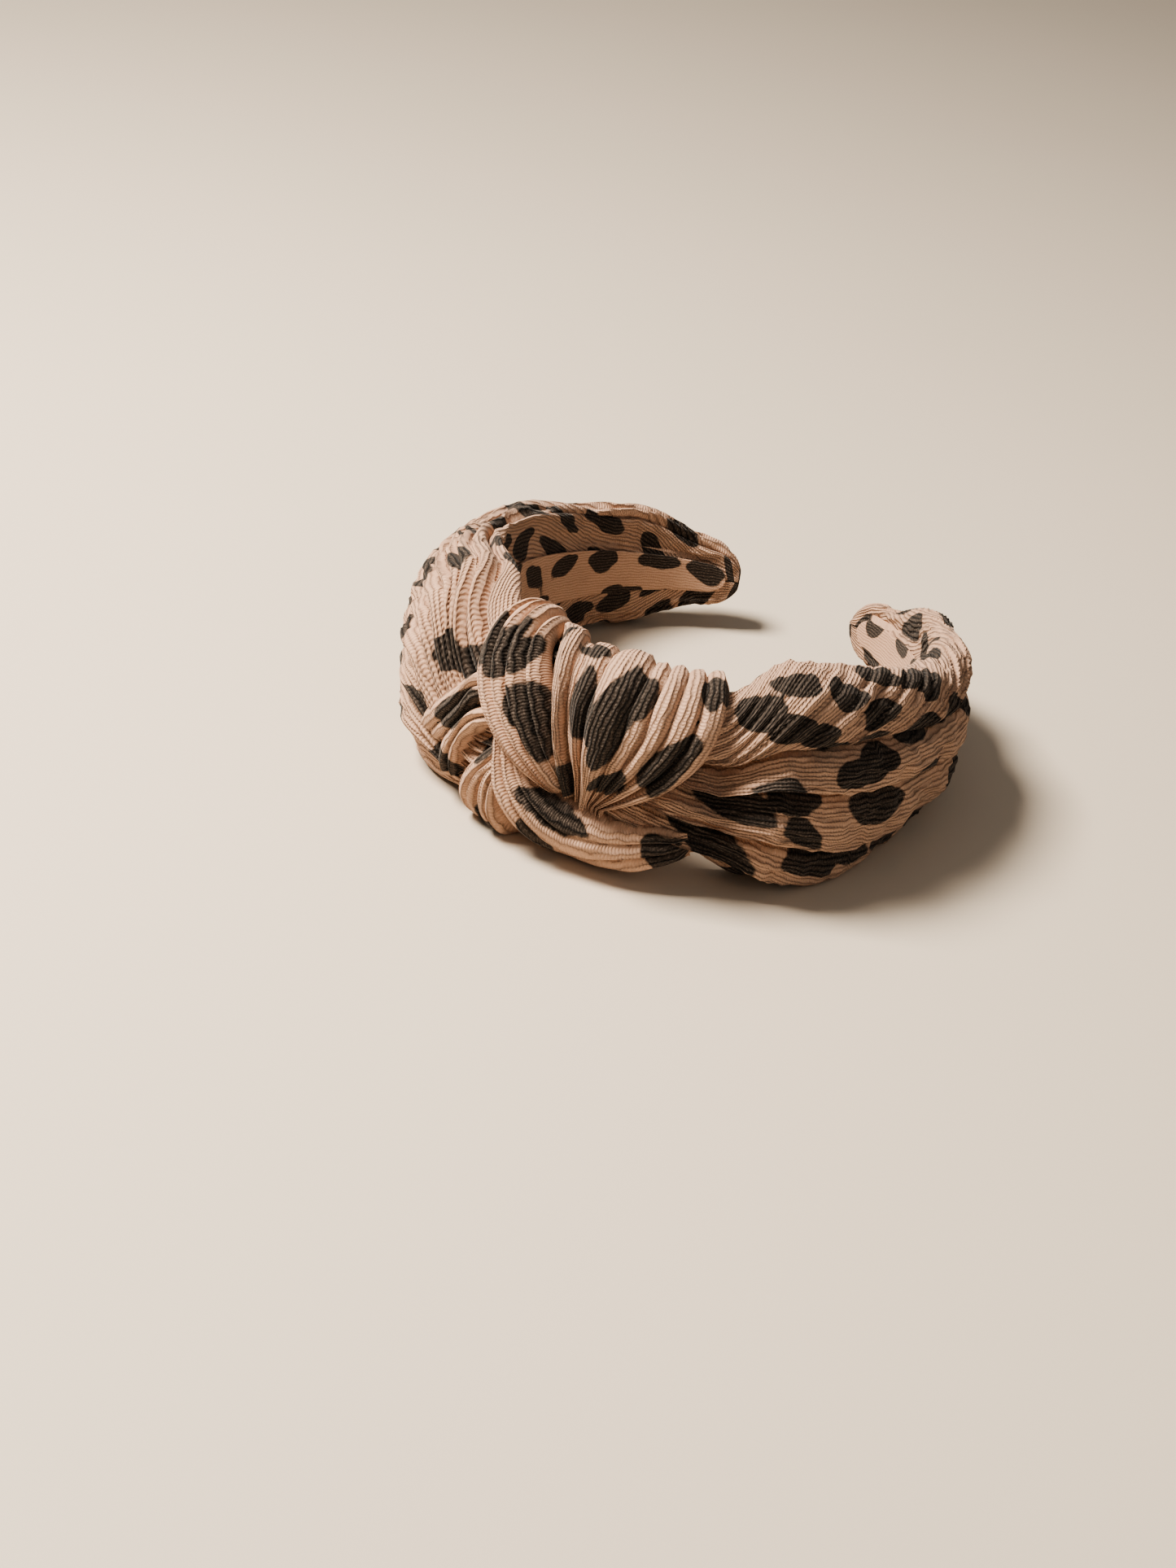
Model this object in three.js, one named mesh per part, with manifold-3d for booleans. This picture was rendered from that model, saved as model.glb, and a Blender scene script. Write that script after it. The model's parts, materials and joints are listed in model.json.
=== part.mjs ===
// Knotted padded headband: a sprung horseshoe hoop with foam, a gathered knit cover,
// an inner lining and a tied knot over the crown. Millimetres, +Z up.
//
// Everything is first laid out in the band's own coordinates (s, z, n):
// s runs along the hoop from the crown (0) to the right tip (+) or the left tip (-),
// z runs across the band's width, and n points out of the hoop, away from the head.

import * as THREE from 'three';
import { mergeVertices } from 'three/addons/utils/BufferGeometryUtils.js';
import Module from 'manifold-3d';

const wasm = await Module();
wasm.setup();

// ---------- Driving dimensions ----------

// Hoop line: a horseshoe, x = halfWidth sin(a), y = depthRadius (1 - cos(a)).
const HOOP_HALF_WIDTH = 66;
const HOOP_DEPTH_RADIUS = 73.6;
const HOOP_END_ANGLE = 158.5;
const HOOP_THICKNESS = 1.8;
const HOOP_CROWN_WIDTH = 38;
const HOOP_TIP_WIDTH = 11;

// Layers on the inner side of the hoop.
const GAP = 0.3;
const FACET_ALLOWANCE = 0.15;
const LAP_THICKNESS = 1.0;
const LAP_LENGTH = 6;
const LINING_THICKNESS = 0.8;
const LINING_INSET = 1.2;

// Foam pad: its height above the hoop line at each station.
const PAD_CROWN_HEIGHT = 4.6;
const PAD_SWELL_HEIGHT = 11;
const PAD_MIDDLE_HEIGHT = 9;
const PAD_LOWER_HEIGHT = 6.5;
const PAD_TIP_HEIGHT = 3.6;
const PAD_END_SETBACK = 4;

// Knot: where it begins and ends along the hoop, and where the strand under it lies.
const KNOT_LEFT = -26;
const KNOT_RIGHT = 35.5;
const UNDER_FROM = -14;
const UNDER_TO = 12;

// The crown section ends and the two flexing arms begin just past the knot.
const FLEX_PAST_KNOT = 4.5;

// Gathered cover, where it is fixed by a station: how far it stands out past the hoop's edge
// above and below, and how deep its gathers are over the pad. Lying on its lower edge, the
// soft cover hangs lower than it rises.
const SWELL_PAST_FLEX = 12;
const MIDDLE_TO_TIP = 88;
const LOWER_TO_TIP = 39;
const CROWN_COVER = { above: 2.5, below: 7, gathers: 5.4 };
const NECK_COVER = {
  left: { above: 4.8, below: 14, gathers: 7.4 },
  right: { above: 4.8, below: 14, gathers: 6.4 },
};
const SWELL_COVER = {
  left: { above: 15.6, below: 19.6, gathers: 11 },
  right: { above: 15.6, below: 19.6, gathers: 7 },
};
const MIDDLE_COVER = {
  left: { above: 13.4, below: 16.4, gathers: 10.5 },
  right: { above: 13.4, below: 16.4, gathers: 6.3 },
};
const LOWER_COVER = { above: 12.3, below: 12.3, gathers: 4.3 };
const TIP_COVER = { above: 5, below: 5, gathers: 3.8 };
const COVER_TIP_OVERHANG = 3.5;
const COVER_EDGE_LEVEL = 0.5;
const COVER_EDGE_ROLL = 3;
const ROUNDNESS = 2.3;

// The fan strand wraps over the upper edge, past the hoop's edge, and gathers into a pit.
const FAN_LEFT = -12;
const FAN_PAST_HOOP = 6;
const FAN_EDGE_LEVEL = 6;
const FAN_EDGE_ROLL = 1.5;
const FAN_OVER_CROWN = 9;
const FAN_OVER_NECK = 2.5;
const FAN_PLEATS = 7;
const FAN_PLEAT_DEPTH = 0.7;
const PIT_LEFT = -1;
const PIT_RIGHT = 15;
const PIT_ANGLE = 124;
const PIT_DEPTH = 7;

// The sweep strand wraps over the upper edge on the fan's left and passes round under the pit.
// It lies on the cover: turn is the angle round the band from its upper edge, and lift is how
// far the middle of the strand stands off the cover.
const SWEEP_HALF_WIDTH = 8.5;
const SWEEP_HALF_HEIGHT = 4.5;
const SWEEP_ROUTE = [
  { s: -17.5, turn: 12, lift: 1 }, { s: -17, turn: 38, lift: 2 }, { s: -15, turn: 66, lift: 2.5 },
  { s: -11.5, turn: 94, lift: 2.5 }, { s: -6, turn: 118, lift: 3 }, { s: 3, turn: 139, lift: 3.5 },
  { s: 15, turn: 149, lift: 3 }, { s: 28, turn: 140, lift: 1 },
];

// How far the soft cover flattens where the band lies on a surface.
const REST_PRESS = 0.6;

// Facet sizes.
const STEP = 7;
const DOME_STEPS = 12;
const PAD_STEPS = 8;
const END_STEPS = 3;
const SWEEP_STEPS = 22;
const SWEEP_SIDES = 12;
const FAN_ROWS = 9;
const FAN_SAMPLES_PER_PLEAT = 4;

// Blunt ends, cut overshoot and tucks of the strands.
const TIP_BLUNTNESS = 0.2;
const CUT_PAST = 1;
const FAN_TUCK = 2 / 9;
const FAN_INNER_SHARE = 0.35;
const SWEEP_END_SHARE = 0.6;
const SLOPE_PASSES = 8;
const TINY = 1e-3;

// ---------- Values that follow from them ----------

const rad = THREE.MathUtils.degToRad;
const lerp = THREE.MathUtils.lerp;
const HOOP_BACK = -HOOP_THICKNESS / 2;
const LAP_TOP = HOOP_BACK - GAP;
const LAP_BACK = LAP_TOP - LAP_THICKNESS;
const LINING_TOP = LAP_BACK - GAP;
const LINING_BACK = LINING_TOP - LINING_THICKNESS;
const PAD_BASE = HOOP_THICKNESS / 2 + GAP;
const CLEARANCE = GAP + FACET_ALLOWANCE;

class HoopLine extends THREE.Curve {
  getPoint(t, target = new THREE.Vector3()) {
    const angle = rad(HOOP_END_ANGLE) * (2 * t - 1);
    const x = HOOP_HALF_WIDTH * Math.sin(angle);
    const y = HOOP_DEPTH_RADIUS * (1 - Math.cos(angle));
    return target.set(x, y, 0);
  }
}
const hoopLine = new HoopLine();
hoopLine.arcLengthDivisions = 800;
const HALF_LENGTH = hoopLine.getLength() / 2;

// The point at (s, z, n), and the directions there. Past a tip the line runs straight on.
function frameAt(s) {
  const held = THREE.MathUtils.clamp(s, -HALF_LENGTH, HALF_LENGTH);
  const share = (held + HALF_LENGTH) / (2 * HALF_LENGTH);
  const along = hoopLine.getTangentAt(share);
  const point = hoopLine.getPointAt(share).addScaledVector(along, s - held);
  const out = new THREE.Vector3(along.y, -along.x, 0);
  return { point, along, out };
}

function place(s, z, n) {
  const { point, out } = frameAt(s);
  return point.addScaledVector(out, n).setZ(z);
}

// A value that eases from station to station on the way from the crown to a tip.
function easeAlong(stations, s) {
  const distance = Math.abs(s);
  for (let i = 1; i < stations.length; i += 1) {
    const [before, after] = [stations[i - 1], stations[i]];
    if (distance < after.at) {
      const share = THREE.MathUtils.smoothstep(distance, before.at, after.at);
      return lerp(before.value, after.value, share);
    }
  }
  return stations[stations.length - 1].value;
}

const HOOP_TIP_RADIUS = HOOP_TIP_WIDTH / 2;
const hoopHalf = (s) => lerp(HOOP_CROWN_WIDTH, HOOP_TIP_WIDTH, Math.abs(s) / HALF_LENGTH) / 2;

// The places that fix the cover and the pad, and how far along the hoop they are.
const FLEX_AT = KNOT_RIGHT + FLEX_PAST_KNOT;
const SWELL_AT = FLEX_AT + SWELL_PAST_FLEX;
const stationsAt = (side) => [
  0,
  side === 'left' ? -KNOT_LEFT : KNOT_RIGHT,
  SWELL_AT,
  HALF_LENGTH - MIDDLE_TO_TIP,
  HALF_LENGTH - LOWER_TO_TIP,
  HALF_LENGTH,
];
const padValues = [
  PAD_CROWN_HEIGHT, PAD_CROWN_HEIGHT, PAD_SWELL_HEIGHT, PAD_MIDDLE_HEIGHT, PAD_LOWER_HEIGHT, PAD_TIP_HEIGHT,
];
const PAD_HEIGHTS = stationsAt('right').map((at, i) => ({ at, value: padValues[i] }));

function coverSide(side) {
  const stations = stationsAt(side);
  const sizes = [
    CROWN_COVER, NECK_COVER[side], SWELL_COVER[side], MIDDLE_COVER[side], LOWER_COVER, TIP_COVER,
  ];
  const table = (value) => stations.map((at, i) => ({ at, value: value(sizes[i], at, i) }));
  return {
    above: table((size, at) => hoopHalf(at) + size.above),
    below: table((size, at) => hoopHalf(at) + size.below),
    height: table((size, at, i) => padValues[i] + size.gathers),
  };
}
const COVER_SIDES = { left: coverSide('left'), right: coverSide('right') };
const COVER_TIP_RADIUS = HOOP_TIP_RADIUS + TIP_COVER.above;
const ARM_FROM = FLEX_AT + GAP / 2;
const COVER_END = HALF_LENGTH + COVER_TIP_OVERHANG;
const PAD_END = HALF_LENGTH - PAD_END_SETBACK;
const LINING_END = HALF_LENGTH - LINING_INSET;

// ---------- Solids ----------

function toGeometry(points, triangles) {
  const geometry = new THREE.BufferGeometry();
  const numbers = points.flatMap((p) => [p.x, p.y, p.z]);
  geometry.setAttribute('position', new THREE.Float32BufferAttribute(numbers, 3));
  geometry.setIndex(triangles.flat());
  return geometry;
}

function toSolid(geometry) {
  const vertProperties = new Float32Array(geometry.getAttribute('position').array);
  const triVerts = new Uint32Array(geometry.getIndex().array);
  return new wasm.Manifold(new wasm.Mesh({ numProp: 3, vertProperties, triVerts }));
}

function fromSolid(solid) {
  const { numProp, vertProperties, triVerts } = solid.getMesh();
  const geometry = new THREE.BufferGeometry();
  const positions = new Float32Array((vertProperties.length / numProp) * 3);
  for (let i = 0; i < positions.length; i += 1) {
    positions[i] = vertProperties[Math.floor(i / 3) * numProp + (i % 3)];
  }
  geometry.setAttribute('position', new THREE.BufferAttribute(positions, 3));
  geometry.setIndex(new THREE.BufferAttribute(new Uint32Array(triVerts), 1));
  geometry.computeVertexNormals();
  return geometry;
}

// Joins rings of points that run counter-clockwise round the way forward, and caps both ends.
function loft(rings, firstOutline, lastOutline) {
  const count = rings[0].length;
  const triangles = [];
  for (let ring = 0; ring < rings.length - 1; ring += 1) {
    for (let i = 0; i < count; i += 1) {
      const next = (i + 1) % count;
      const [a, b] = [ring * count + i, ring * count + next];
      const [c, d] = [b + count, a + count];
      triangles.push([a, b, c], [a, c, d]);
    }
  }
  const last = (rings.length - 1) * count;
  for (const [a, b, c] of THREE.ShapeUtils.triangulateShape(firstOutline, [])) {
    triangles.push([a, c, b]);
  }
  for (const [a, b, c] of THREE.ShapeUtils.triangulateShape(lastOutline, [])) {
    triangles.push([last + a, last + b, last + c]);
  }
  return toSolid(toGeometry(rings.flat(), triangles));
}

// A closed slab between an outer and an inner sheet, each a grid over u and v.
function slab(outer, inner, columns, rows) {
  const points = [];
  const triangles = [];
  const at = (side, i, j) => side * (columns + 1) * (rows + 1) + i * (rows + 1) + j;
  const quad = (a, b, c, d) => triangles.push([a, b, c], [a, c, d]);
  for (const sheet of [outer, inner]) {
    for (let i = 0; i <= columns; i += 1) {
      for (let j = 0; j <= rows; j += 1) {
        points.push(sheet(i / columns, j / rows));
      }
    }
  }
  for (let i = 0; i < columns; i += 1) {
    for (let j = 0; j < rows; j += 1) {
      quad(at(0, i, j), at(0, i, j + 1), at(0, i + 1, j + 1), at(0, i + 1, j));
      quad(at(1, i, j), at(1, i + 1, j), at(1, i + 1, j + 1), at(1, i, j + 1));
    }
    quad(at(0, i, 0), at(0, i + 1, 0), at(1, i + 1, 0), at(1, i, 0));
    quad(at(0, i + 1, rows), at(0, i, rows), at(1, i, rows), at(1, i + 1, rows));
  }
  for (let j = 0; j < rows; j += 1) {
    quad(at(0, 0, j + 1), at(0, 0, j), at(1, 0, j), at(1, 0, j + 1));
    quad(at(0, columns, j), at(0, columns, j + 1), at(1, columns, j + 1), at(1, columns, j));
  }
  return toSolid(toGeometry(points, triangles));
}

// Places along the hoop where sections stand, closer together where the far end is rounded.
function sectionPlaces(from, to, tipRadius) {
  const places = [from];
  const straightTo = to - tipRadius;
  for (let s = Math.ceil((from + 1) / STEP) * STEP; s < straightTo - 1; s += STEP) {
    places.push(s);
  }
  for (let k = 0; tipRadius > 0 && k < END_STEPS; k += 1) {
    places.push(straightTo + tipRadius * Math.sin((k / END_STEPS) * (Math.PI / 2)));
  }
  places.push(to);
  return places;
}

// 1 along the band, easing in a quarter circle to a small blunt end at the tip.
function tipRounding(s, end, tipRadius) {
  const past = Math.max(0, s - (end - tipRadius)) / tipRadius;
  return Math.max(TIP_BLUNTNESS, Math.sqrt(Math.max(0, 1 - past * past)));
}

// Sweeps outline(s), a list of [z, n] corners, from one place on the hoop to another.
function sweep(from, to, tipRadius, outline) {
  const places = sectionPlaces(from, to, tipRadius);
  const outlines = places.map((s) => outline(s).map(([z, n]) => new THREE.Vector2(z, n)));
  const rings = outlines.map((corners, k) => corners.map((c) => place(places[k], c.x, c.y)));
  return loft(rings, outlines[0], outlines[outlines.length - 1]);
}

const sideOf = (s) => (s < 0 ? 'left' : 'right');
const box = (half, low, high) => [[half, low], [half, high], [-half, high], [-half, low]];

// A superellipse corner: angle 0 is the upper edge (+z), a quarter turn is the outermost point.
function domeCorner(angle, half, base, top) {
  const across = Math.sign(Math.cos(angle)) * Math.abs(Math.cos(angle)) ** (2 / ROUNDNESS);
  const up = Math.max(0, Math.sin(angle)) ** (2 / ROUNDNESS);
  return [half * across, base + (top - base) * up];
}

function dome(half, base, top, steps) {
  return Array.from({ length: steps + 1 }, (_, i) => domeCorner((Math.PI * i) / steps, half, base, top));
}

// The rounded band section: a dome outside, rolled edges, and a flat inner side.
function bandOutline(above, below, height, grow) {
  const half = (above + below) / 2 + grow;
  const middle = (above - below) / 2;
  const back = LAP_BACK - grow;
  const roll = Math.min(COVER_EDGE_ROLL, half / 2);
  const rollZ = half - roll * (1 - Math.SQRT1_2);
  const rollN = lerp(COVER_EDGE_LEVEL, back, Math.SQRT1_2);
  const outer = dome(half, COVER_EDGE_LEVEL, height + grow, DOME_STEPS);
  const inner = [[-rollZ, rollN], [roll - half, back], [half - roll, back], [rollZ, rollN]];
  return [...outer, ...inner].map(([z, n]) => [z + middle, n]);
}

// The cover's outer shape as a filled solid, grown by a clearance. An arm is always laid out
// toward +s, with the sizes of the side that it is for.
function coverEnvelope(from, to, tipRadius, grow, side) {
  return sweep(from, to, tipRadius, (s) => {
    const sizes = COVER_SIDES[side ?? sideOf(s)];
    const rounding = tipRounding(s, COVER_END, COVER_TIP_RADIUS);
    const height = lerp(COVER_EDGE_LEVEL, easeAlong(sizes.height, s), Math.sqrt(rounding));
    const above = easeAlong(sizes.above, s) * rounding;
    const below = easeAlong(sizes.below, s) * rounding;
    return bandOutline(above, below, height, grow);
  });
}

function hoopSolid(from, to, tipRadius) {
  return sweep(from, to, tipRadius, (s) => {
    const half = hoopHalf(s) * tipRounding(s, HALF_LENGTH, HOOP_TIP_RADIUS);
    return box(half, HOOP_BACK, -HOOP_BACK);
  });
}

function padSolid(from, to, tipRadius) {
  return sweep(from, to, tipRadius, (s) => {
    const half = hoopHalf(s) * tipRounding(s, PAD_END, HOOP_TIP_RADIUS);
    return dome(half, PAD_BASE, easeAlong(PAD_HEIGHTS, s), PAD_STEPS);
  });
}

function liningSolid(from, to, tipRadius) {
  return sweep(from, to, tipRadius, (s) => {
    const half = (hoopHalf(s) - LINING_INSET) * tipRounding(s, LINING_END, HOOP_TIP_RADIUS);
    return box(half, LINING_BACK, LINING_TOP);
  });
}

// The room inside a cover for the hoop and its pad.
function innerRoom(from, to, tipRadius) {
  return sweep(from, to, tipRadius, (s) => {
    const half = hoopHalf(s) * tipRounding(s, HALF_LENGTH + GAP, HOOP_TIP_RADIUS + GAP) + CLEARANCE;
    const roof = dome(half, PAD_BASE, easeAlong(PAD_HEIGHTS, s) + CLEARANCE, PAD_STEPS);
    return [...roof, [-half, LAP_TOP], [half, LAP_TOP]];
  });
}

// The slot between the two laps of the cover on the hoop's inner side.
function lapSlot(from, to) {
  return sweep(from, to, 0, (s) => {
    const half = Math.max(hoopHalf(s) - LAP_LENGTH, LAP_THICKNESS);
    return box(half, LINING_BACK - CUT_PAST, LAP_TOP + GAP);
  });
}

// A stretch of the gathered cover over the crown section, open at both ends.
function crownCover(from, to) {
  return coverEnvelope(from, to, 0, 0)
    .subtract(innerRoom(from - CUT_PAST, to + CUT_PAST, 0))
    .subtract(lapSlot(from - CUT_PAST, to + CUT_PAST));
}

// An arm's cover, which closes round the tip of the hoop like a pocket.
function armCover(side) {
  return coverEnvelope(ARM_FROM, COVER_END, COVER_TIP_RADIUS, 0, side)
    .subtract(innerRoom(ARM_FROM - CUT_PAST, HALF_LENGTH + GAP, HOOP_TIP_RADIUS + GAP))
    .subtract(lapSlot(ARM_FROM - CUT_PAST, HALF_LENGTH - LAP_LENGTH));
}

const FAN_HEIGHT = PAD_CROWN_HEIGHT + CROWN_COVER.gathers + FAN_OVER_CROWN;
const FAN_EDGE_HEIGHT = PAD_CROWN_HEIGHT + NECK_COVER.left.gathers + FAN_OVER_NECK;

// A corner of the fan's section across the band, where a negative angle lies in its tuck.
function fanCorner(angle, half, crest) {
  if (angle > 0) return domeCorner(rad(angle), half, FAN_EDGE_LEVEL, crest);
  const inward = half - FAN_EDGE_ROLL * (1 - Math.cos(rad(angle)));
  return [inward, lerp(FAN_EDGE_LEVEL, COVER_EDGE_LEVEL, -Math.sin(rad(angle)))];
}

// The fan strand: u runs from its left edge to its right edge, v from its tucked-in end on
// the inner side, over the band's upper edge and down the front into the pit.
function fanSheet(depthShare, pleatDepth) {
  return (u, v) => {
    const angle = v < FAN_TUCK ? (v / FAN_TUCK - 1) * 90 : ((v - FAN_TUCK) / (1 - FAN_TUCK)) * PIT_ANGLE;
    const gathered = (Math.max(0, angle) / PIT_ANGLE) ** 3;
    const pleat = pleatDepth * Math.cos(2 * Math.PI * FAN_PLEATS * u);
    const arch = Math.sqrt(Math.max(0, Math.sin(Math.PI * u)));
    const dip = PIT_DEPTH * THREE.MathUtils.smoothstep(angle, 90, PIT_ANGLE);
    const crest = lerp(FAN_EDGE_HEIGHT, FAN_HEIGHT, arch) + pleat - dip;
    const [z, n] = fanCorner(angle, hoopHalf(0) + FAN_PAST_HOOP + pleat, crest);
    const s = lerp(lerp(FAN_LEFT, KNOT_RIGHT, u), lerp(PIT_LEFT, PIT_RIGHT, u), gathered);
    return place(s, z * depthShare, lerp(COVER_EDGE_LEVEL, n, depthShare));
  };
}

function fanSolid() {
  const columns = FAN_PLEATS * FAN_SAMPLES_PER_PLEAT;
  return slab(fanSheet(1, FAN_PLEAT_DEPTH), fanSheet(FAN_INNER_SHARE, 0), columns, FAN_ROWS);
}

// A point on the cover, at an angle round it from its upper edge and lifted off it.
function onCover(s, turn, lift) {
  const sizes = COVER_SIDES[sideOf(s)];
  const [above, below] = [easeAlong(sizes.above, s), easeAlong(sizes.below, s)];
  const height = easeAlong(sizes.height, s) + lift;
  const [z, n] = domeCorner(rad(turn), (above + below) / 2 + lift, COVER_EDGE_LEVEL, height);
  return place(s, z + (above - below) / 2, n);
}

// The sweep strand: an oval strand laid along its route on the outside of the band.
function sweepStrand(grow) {
  const stops = SWEEP_ROUTE.map((p) => new THREE.Vector3(p.s, p.turn, p.lift));
  const route = new THREE.CatmullRomCurve3(stops);
  const spot = (t) => {
    const at = route.getPoint(THREE.MathUtils.clamp(t, 0, 1));
    const centre = onCover(at.x, at.y, at.z);
    return { centre, out: onCover(at.x, at.y, at.z + 1).sub(centre).normalize() };
  };
  const outline = Array.from({ length: SWEEP_SIDES }, (_, i) => {
    const angle = (2 * Math.PI * i) / SWEEP_SIDES;
    return new THREE.Vector2(Math.cos(angle), Math.sin(angle));
  });
  const rings = Array.from({ length: SWEEP_STEPS + 1 }, (_, k) => {
    const t = k / SWEEP_STEPS;
    const { centre, out } = spot(t);
    const ahead = spot(t + TINY).centre.sub(spot(t - TINY).centre).normalize();
    const side = out.clone().cross(ahead).normalize();
    const up = ahead.clone().cross(side);
    const fullness = lerp(SWEEP_END_SHARE, 1, Math.sqrt(Math.max(0, Math.sin(Math.PI * t))));
    centre.addScaledVector(ahead, grow * (2 * t - 1));
    return outline.map((c) => centre.clone()
      .addScaledVector(side, c.x * (SWEEP_HALF_WIDTH * fullness + grow))
      .addScaledVector(up, c.y * (SWEEP_HALF_HEIGHT * fullness + grow)));
  });
  return loft(rings, outline, outline);
}

// ---------- The band's pieces, in its own coordinates ----------

const crownSpan = [-FLEX_AT + GAP / 2, FLEX_AT - GAP / 2];
const underClearance = coverEnvelope(crownSpan[0], crownSpan[1], 0, CLEARANCE);
const sweepSolid = sweepStrand(0).subtract(underClearance);

const crownSolids = {
  hoop_crown: hoopSolid(...crownSpan, 0),
  pad_crown: padSolid(...crownSpan, 0),
  lining_crown: liningSolid(...crownSpan, 0),
  neck_left: crownCover(crownSpan[0], UNDER_FROM - GAP),
  under_strand: crownCover(UNDER_FROM, UNDER_TO),
  neck_right: crownCover(UNDER_TO + GAP, crownSpan[1]),
  sweep_strand: sweepSolid,
  fan_strand: fanSolid().subtract(underClearance).subtract(sweepStrand(CLEARANCE)),
};
const armSolids = (side) => ({
  hoop: hoopSolid(ARM_FROM, HALF_LENGTH, HOOP_TIP_RADIUS),
  pad: padSolid(ARM_FROM, PAD_END, HOOP_TIP_RADIUS),
  lining: liningSolid(ARM_FROM, LINING_END, HOOP_TIP_RADIUS),
  cover: armCover(side),
});
const leftSolids = armSolids('left');
const rightSolids = armSolids('right');

// ---------- How it lies on a surface ----------

function cornersOf(geometry) {
  const position = geometry.getAttribute('position');
  const corner = (_, i) => new THREE.Vector3().fromBufferAttribute(position, i);
  return Array.from({ length: position.count }, corner);
}

// The slope of the line on which the band rests: one low point near the crown, one near the tips.
function restingSlope(corners) {
  const middle = HOOP_DEPTH_RADIUS;
  const lowest = (side, slope) => side.reduce((low, p) => {
    const drop = (q) => q.z * Math.cos(slope) - q.y * Math.sin(slope);
    return drop(p) < drop(low) ? p : low;
  });
  const front = corners.filter((p) => p.y < middle);
  const back = corners.filter((p) => p.y >= middle);
  let slope = 0;
  for (let pass = 0; pass < SLOPE_PASSES; pass += 1) {
    const [a, b] = [lowest(front, slope), lowest(back, slope)];
    slope = Math.atan2(b.z - a.z, b.y - a.y);
  }
  return slope;
}

// Everything below the surface, as a block in the band's own coordinates.
function surfaceBlock(rest) {
  const size = 4 * HOOP_DEPTH_RADIUS;
  const block = new THREE.BoxGeometry(size, size, size).translate(0, 0, -size / 2);
  block.deleteAttribute('normal');
  block.deleteAttribute('uv');
  return toSolid(mergeVertices(block).applyMatrix4(rest.clone().invert()));
}

const everySolid = [crownSolids, leftSolids, rightSolids].flatMap(Object.values);
const everyCorner = everySolid.flatMap((solid) => cornersOf(fromSolid(solid)));
const slope = restingSlope(everyCorner);
const turn = new THREE.Matrix4().makeRotationX(-slope);
const lowestPoint = Math.min(...everyCorner.map((p) => p.clone().applyMatrix4(turn).z));
const restLift = -lowestPoint - REST_PRESS;
const surface = surfaceBlock(new THREE.Matrix4().makeTranslation(0, 0, restLift).multiply(turn));

// ---------- Materials and meshes ----------

const knit = new THREE.MeshStandardMaterial({ color: 0xc79c84, roughness: 0.95, metalness: 0 });
const knotKnit = new THREE.MeshStandardMaterial({ color: 0xb98a72, roughness: 0.95, metalness: 0 });
const smoothKnit = new THREE.MeshStandardMaterial({ color: 0xb48e78, roughness: 0.9, metalness: 0 });
const foam = new THREE.MeshStandardMaterial({ color: 0xe8e2d4, roughness: 1, metalness: 0 });
const plastic = new THREE.MeshStandardMaterial({ color: 0x2a2624, roughness: 0.5, metalness: 0 });
const MATERIALS = {
  hoop: plastic,
  pad: foam,
  lining: smoothKnit,
  cover: knit,
  neck: knit,
  under: knotKnit,
  sweep: knotKnit,
  fan: knotKnit,
};

function makeMesh(name, solid) {
  const mesh = new THREE.Mesh(fromSolid(solid.subtract(surface)), MATERIALS[name.split('_')[0]]);
  mesh.name = name;
  return mesh;
}

// The piece turned over to the other side of the band, with its faces still pointing out.
function mirrored(mesh) {
  mesh.geometry.scale(-1, 1, 1);
  mesh.geometry.setIndex(Array.from(mesh.geometry.getIndex().array).reverse());
  mesh.geometry.computeVertexNormals();
  return mesh;
}

const crown = new THREE.Group();
const leftArm = new THREE.Group();
const rightArm = new THREE.Group();
for (const [name, solid] of Object.entries(crownSolids)) {
  crown.add(makeMesh(name, solid));
}
for (const [name, solid] of Object.entries(rightSolids)) {
  rightArm.add(makeMesh(`${name}_right`, solid));
}
for (const [name, solid] of Object.entries(leftSolids)) {
  leftArm.add(mirrored(makeMesh(`${name}_left`, solid)));
}

// The band lies on its lower edge, centred over the origin, with the knot toward -Y.
const band = new THREE.Group();
band.add(crown, leftArm, rightArm);
band.rotation.x = -slope;
band.position.z = restLift;
band.updateMatrixWorld(true);
const bounds = new THREE.Box3().setFromObject(band, true);
const centre = bounds.getCenter(new THREE.Vector3());
band.position.x = -centre.x;
band.position.y = -centre.y;

const headband = new THREE.Group();
headband.add(band);
export default headband;
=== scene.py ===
"""Knotted padded headband: the soft pieces, materials, light and camera round the CAD frame."""

import json
import math

import bpy
import numpy as np
from mathutils import Matrix, Vector


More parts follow.
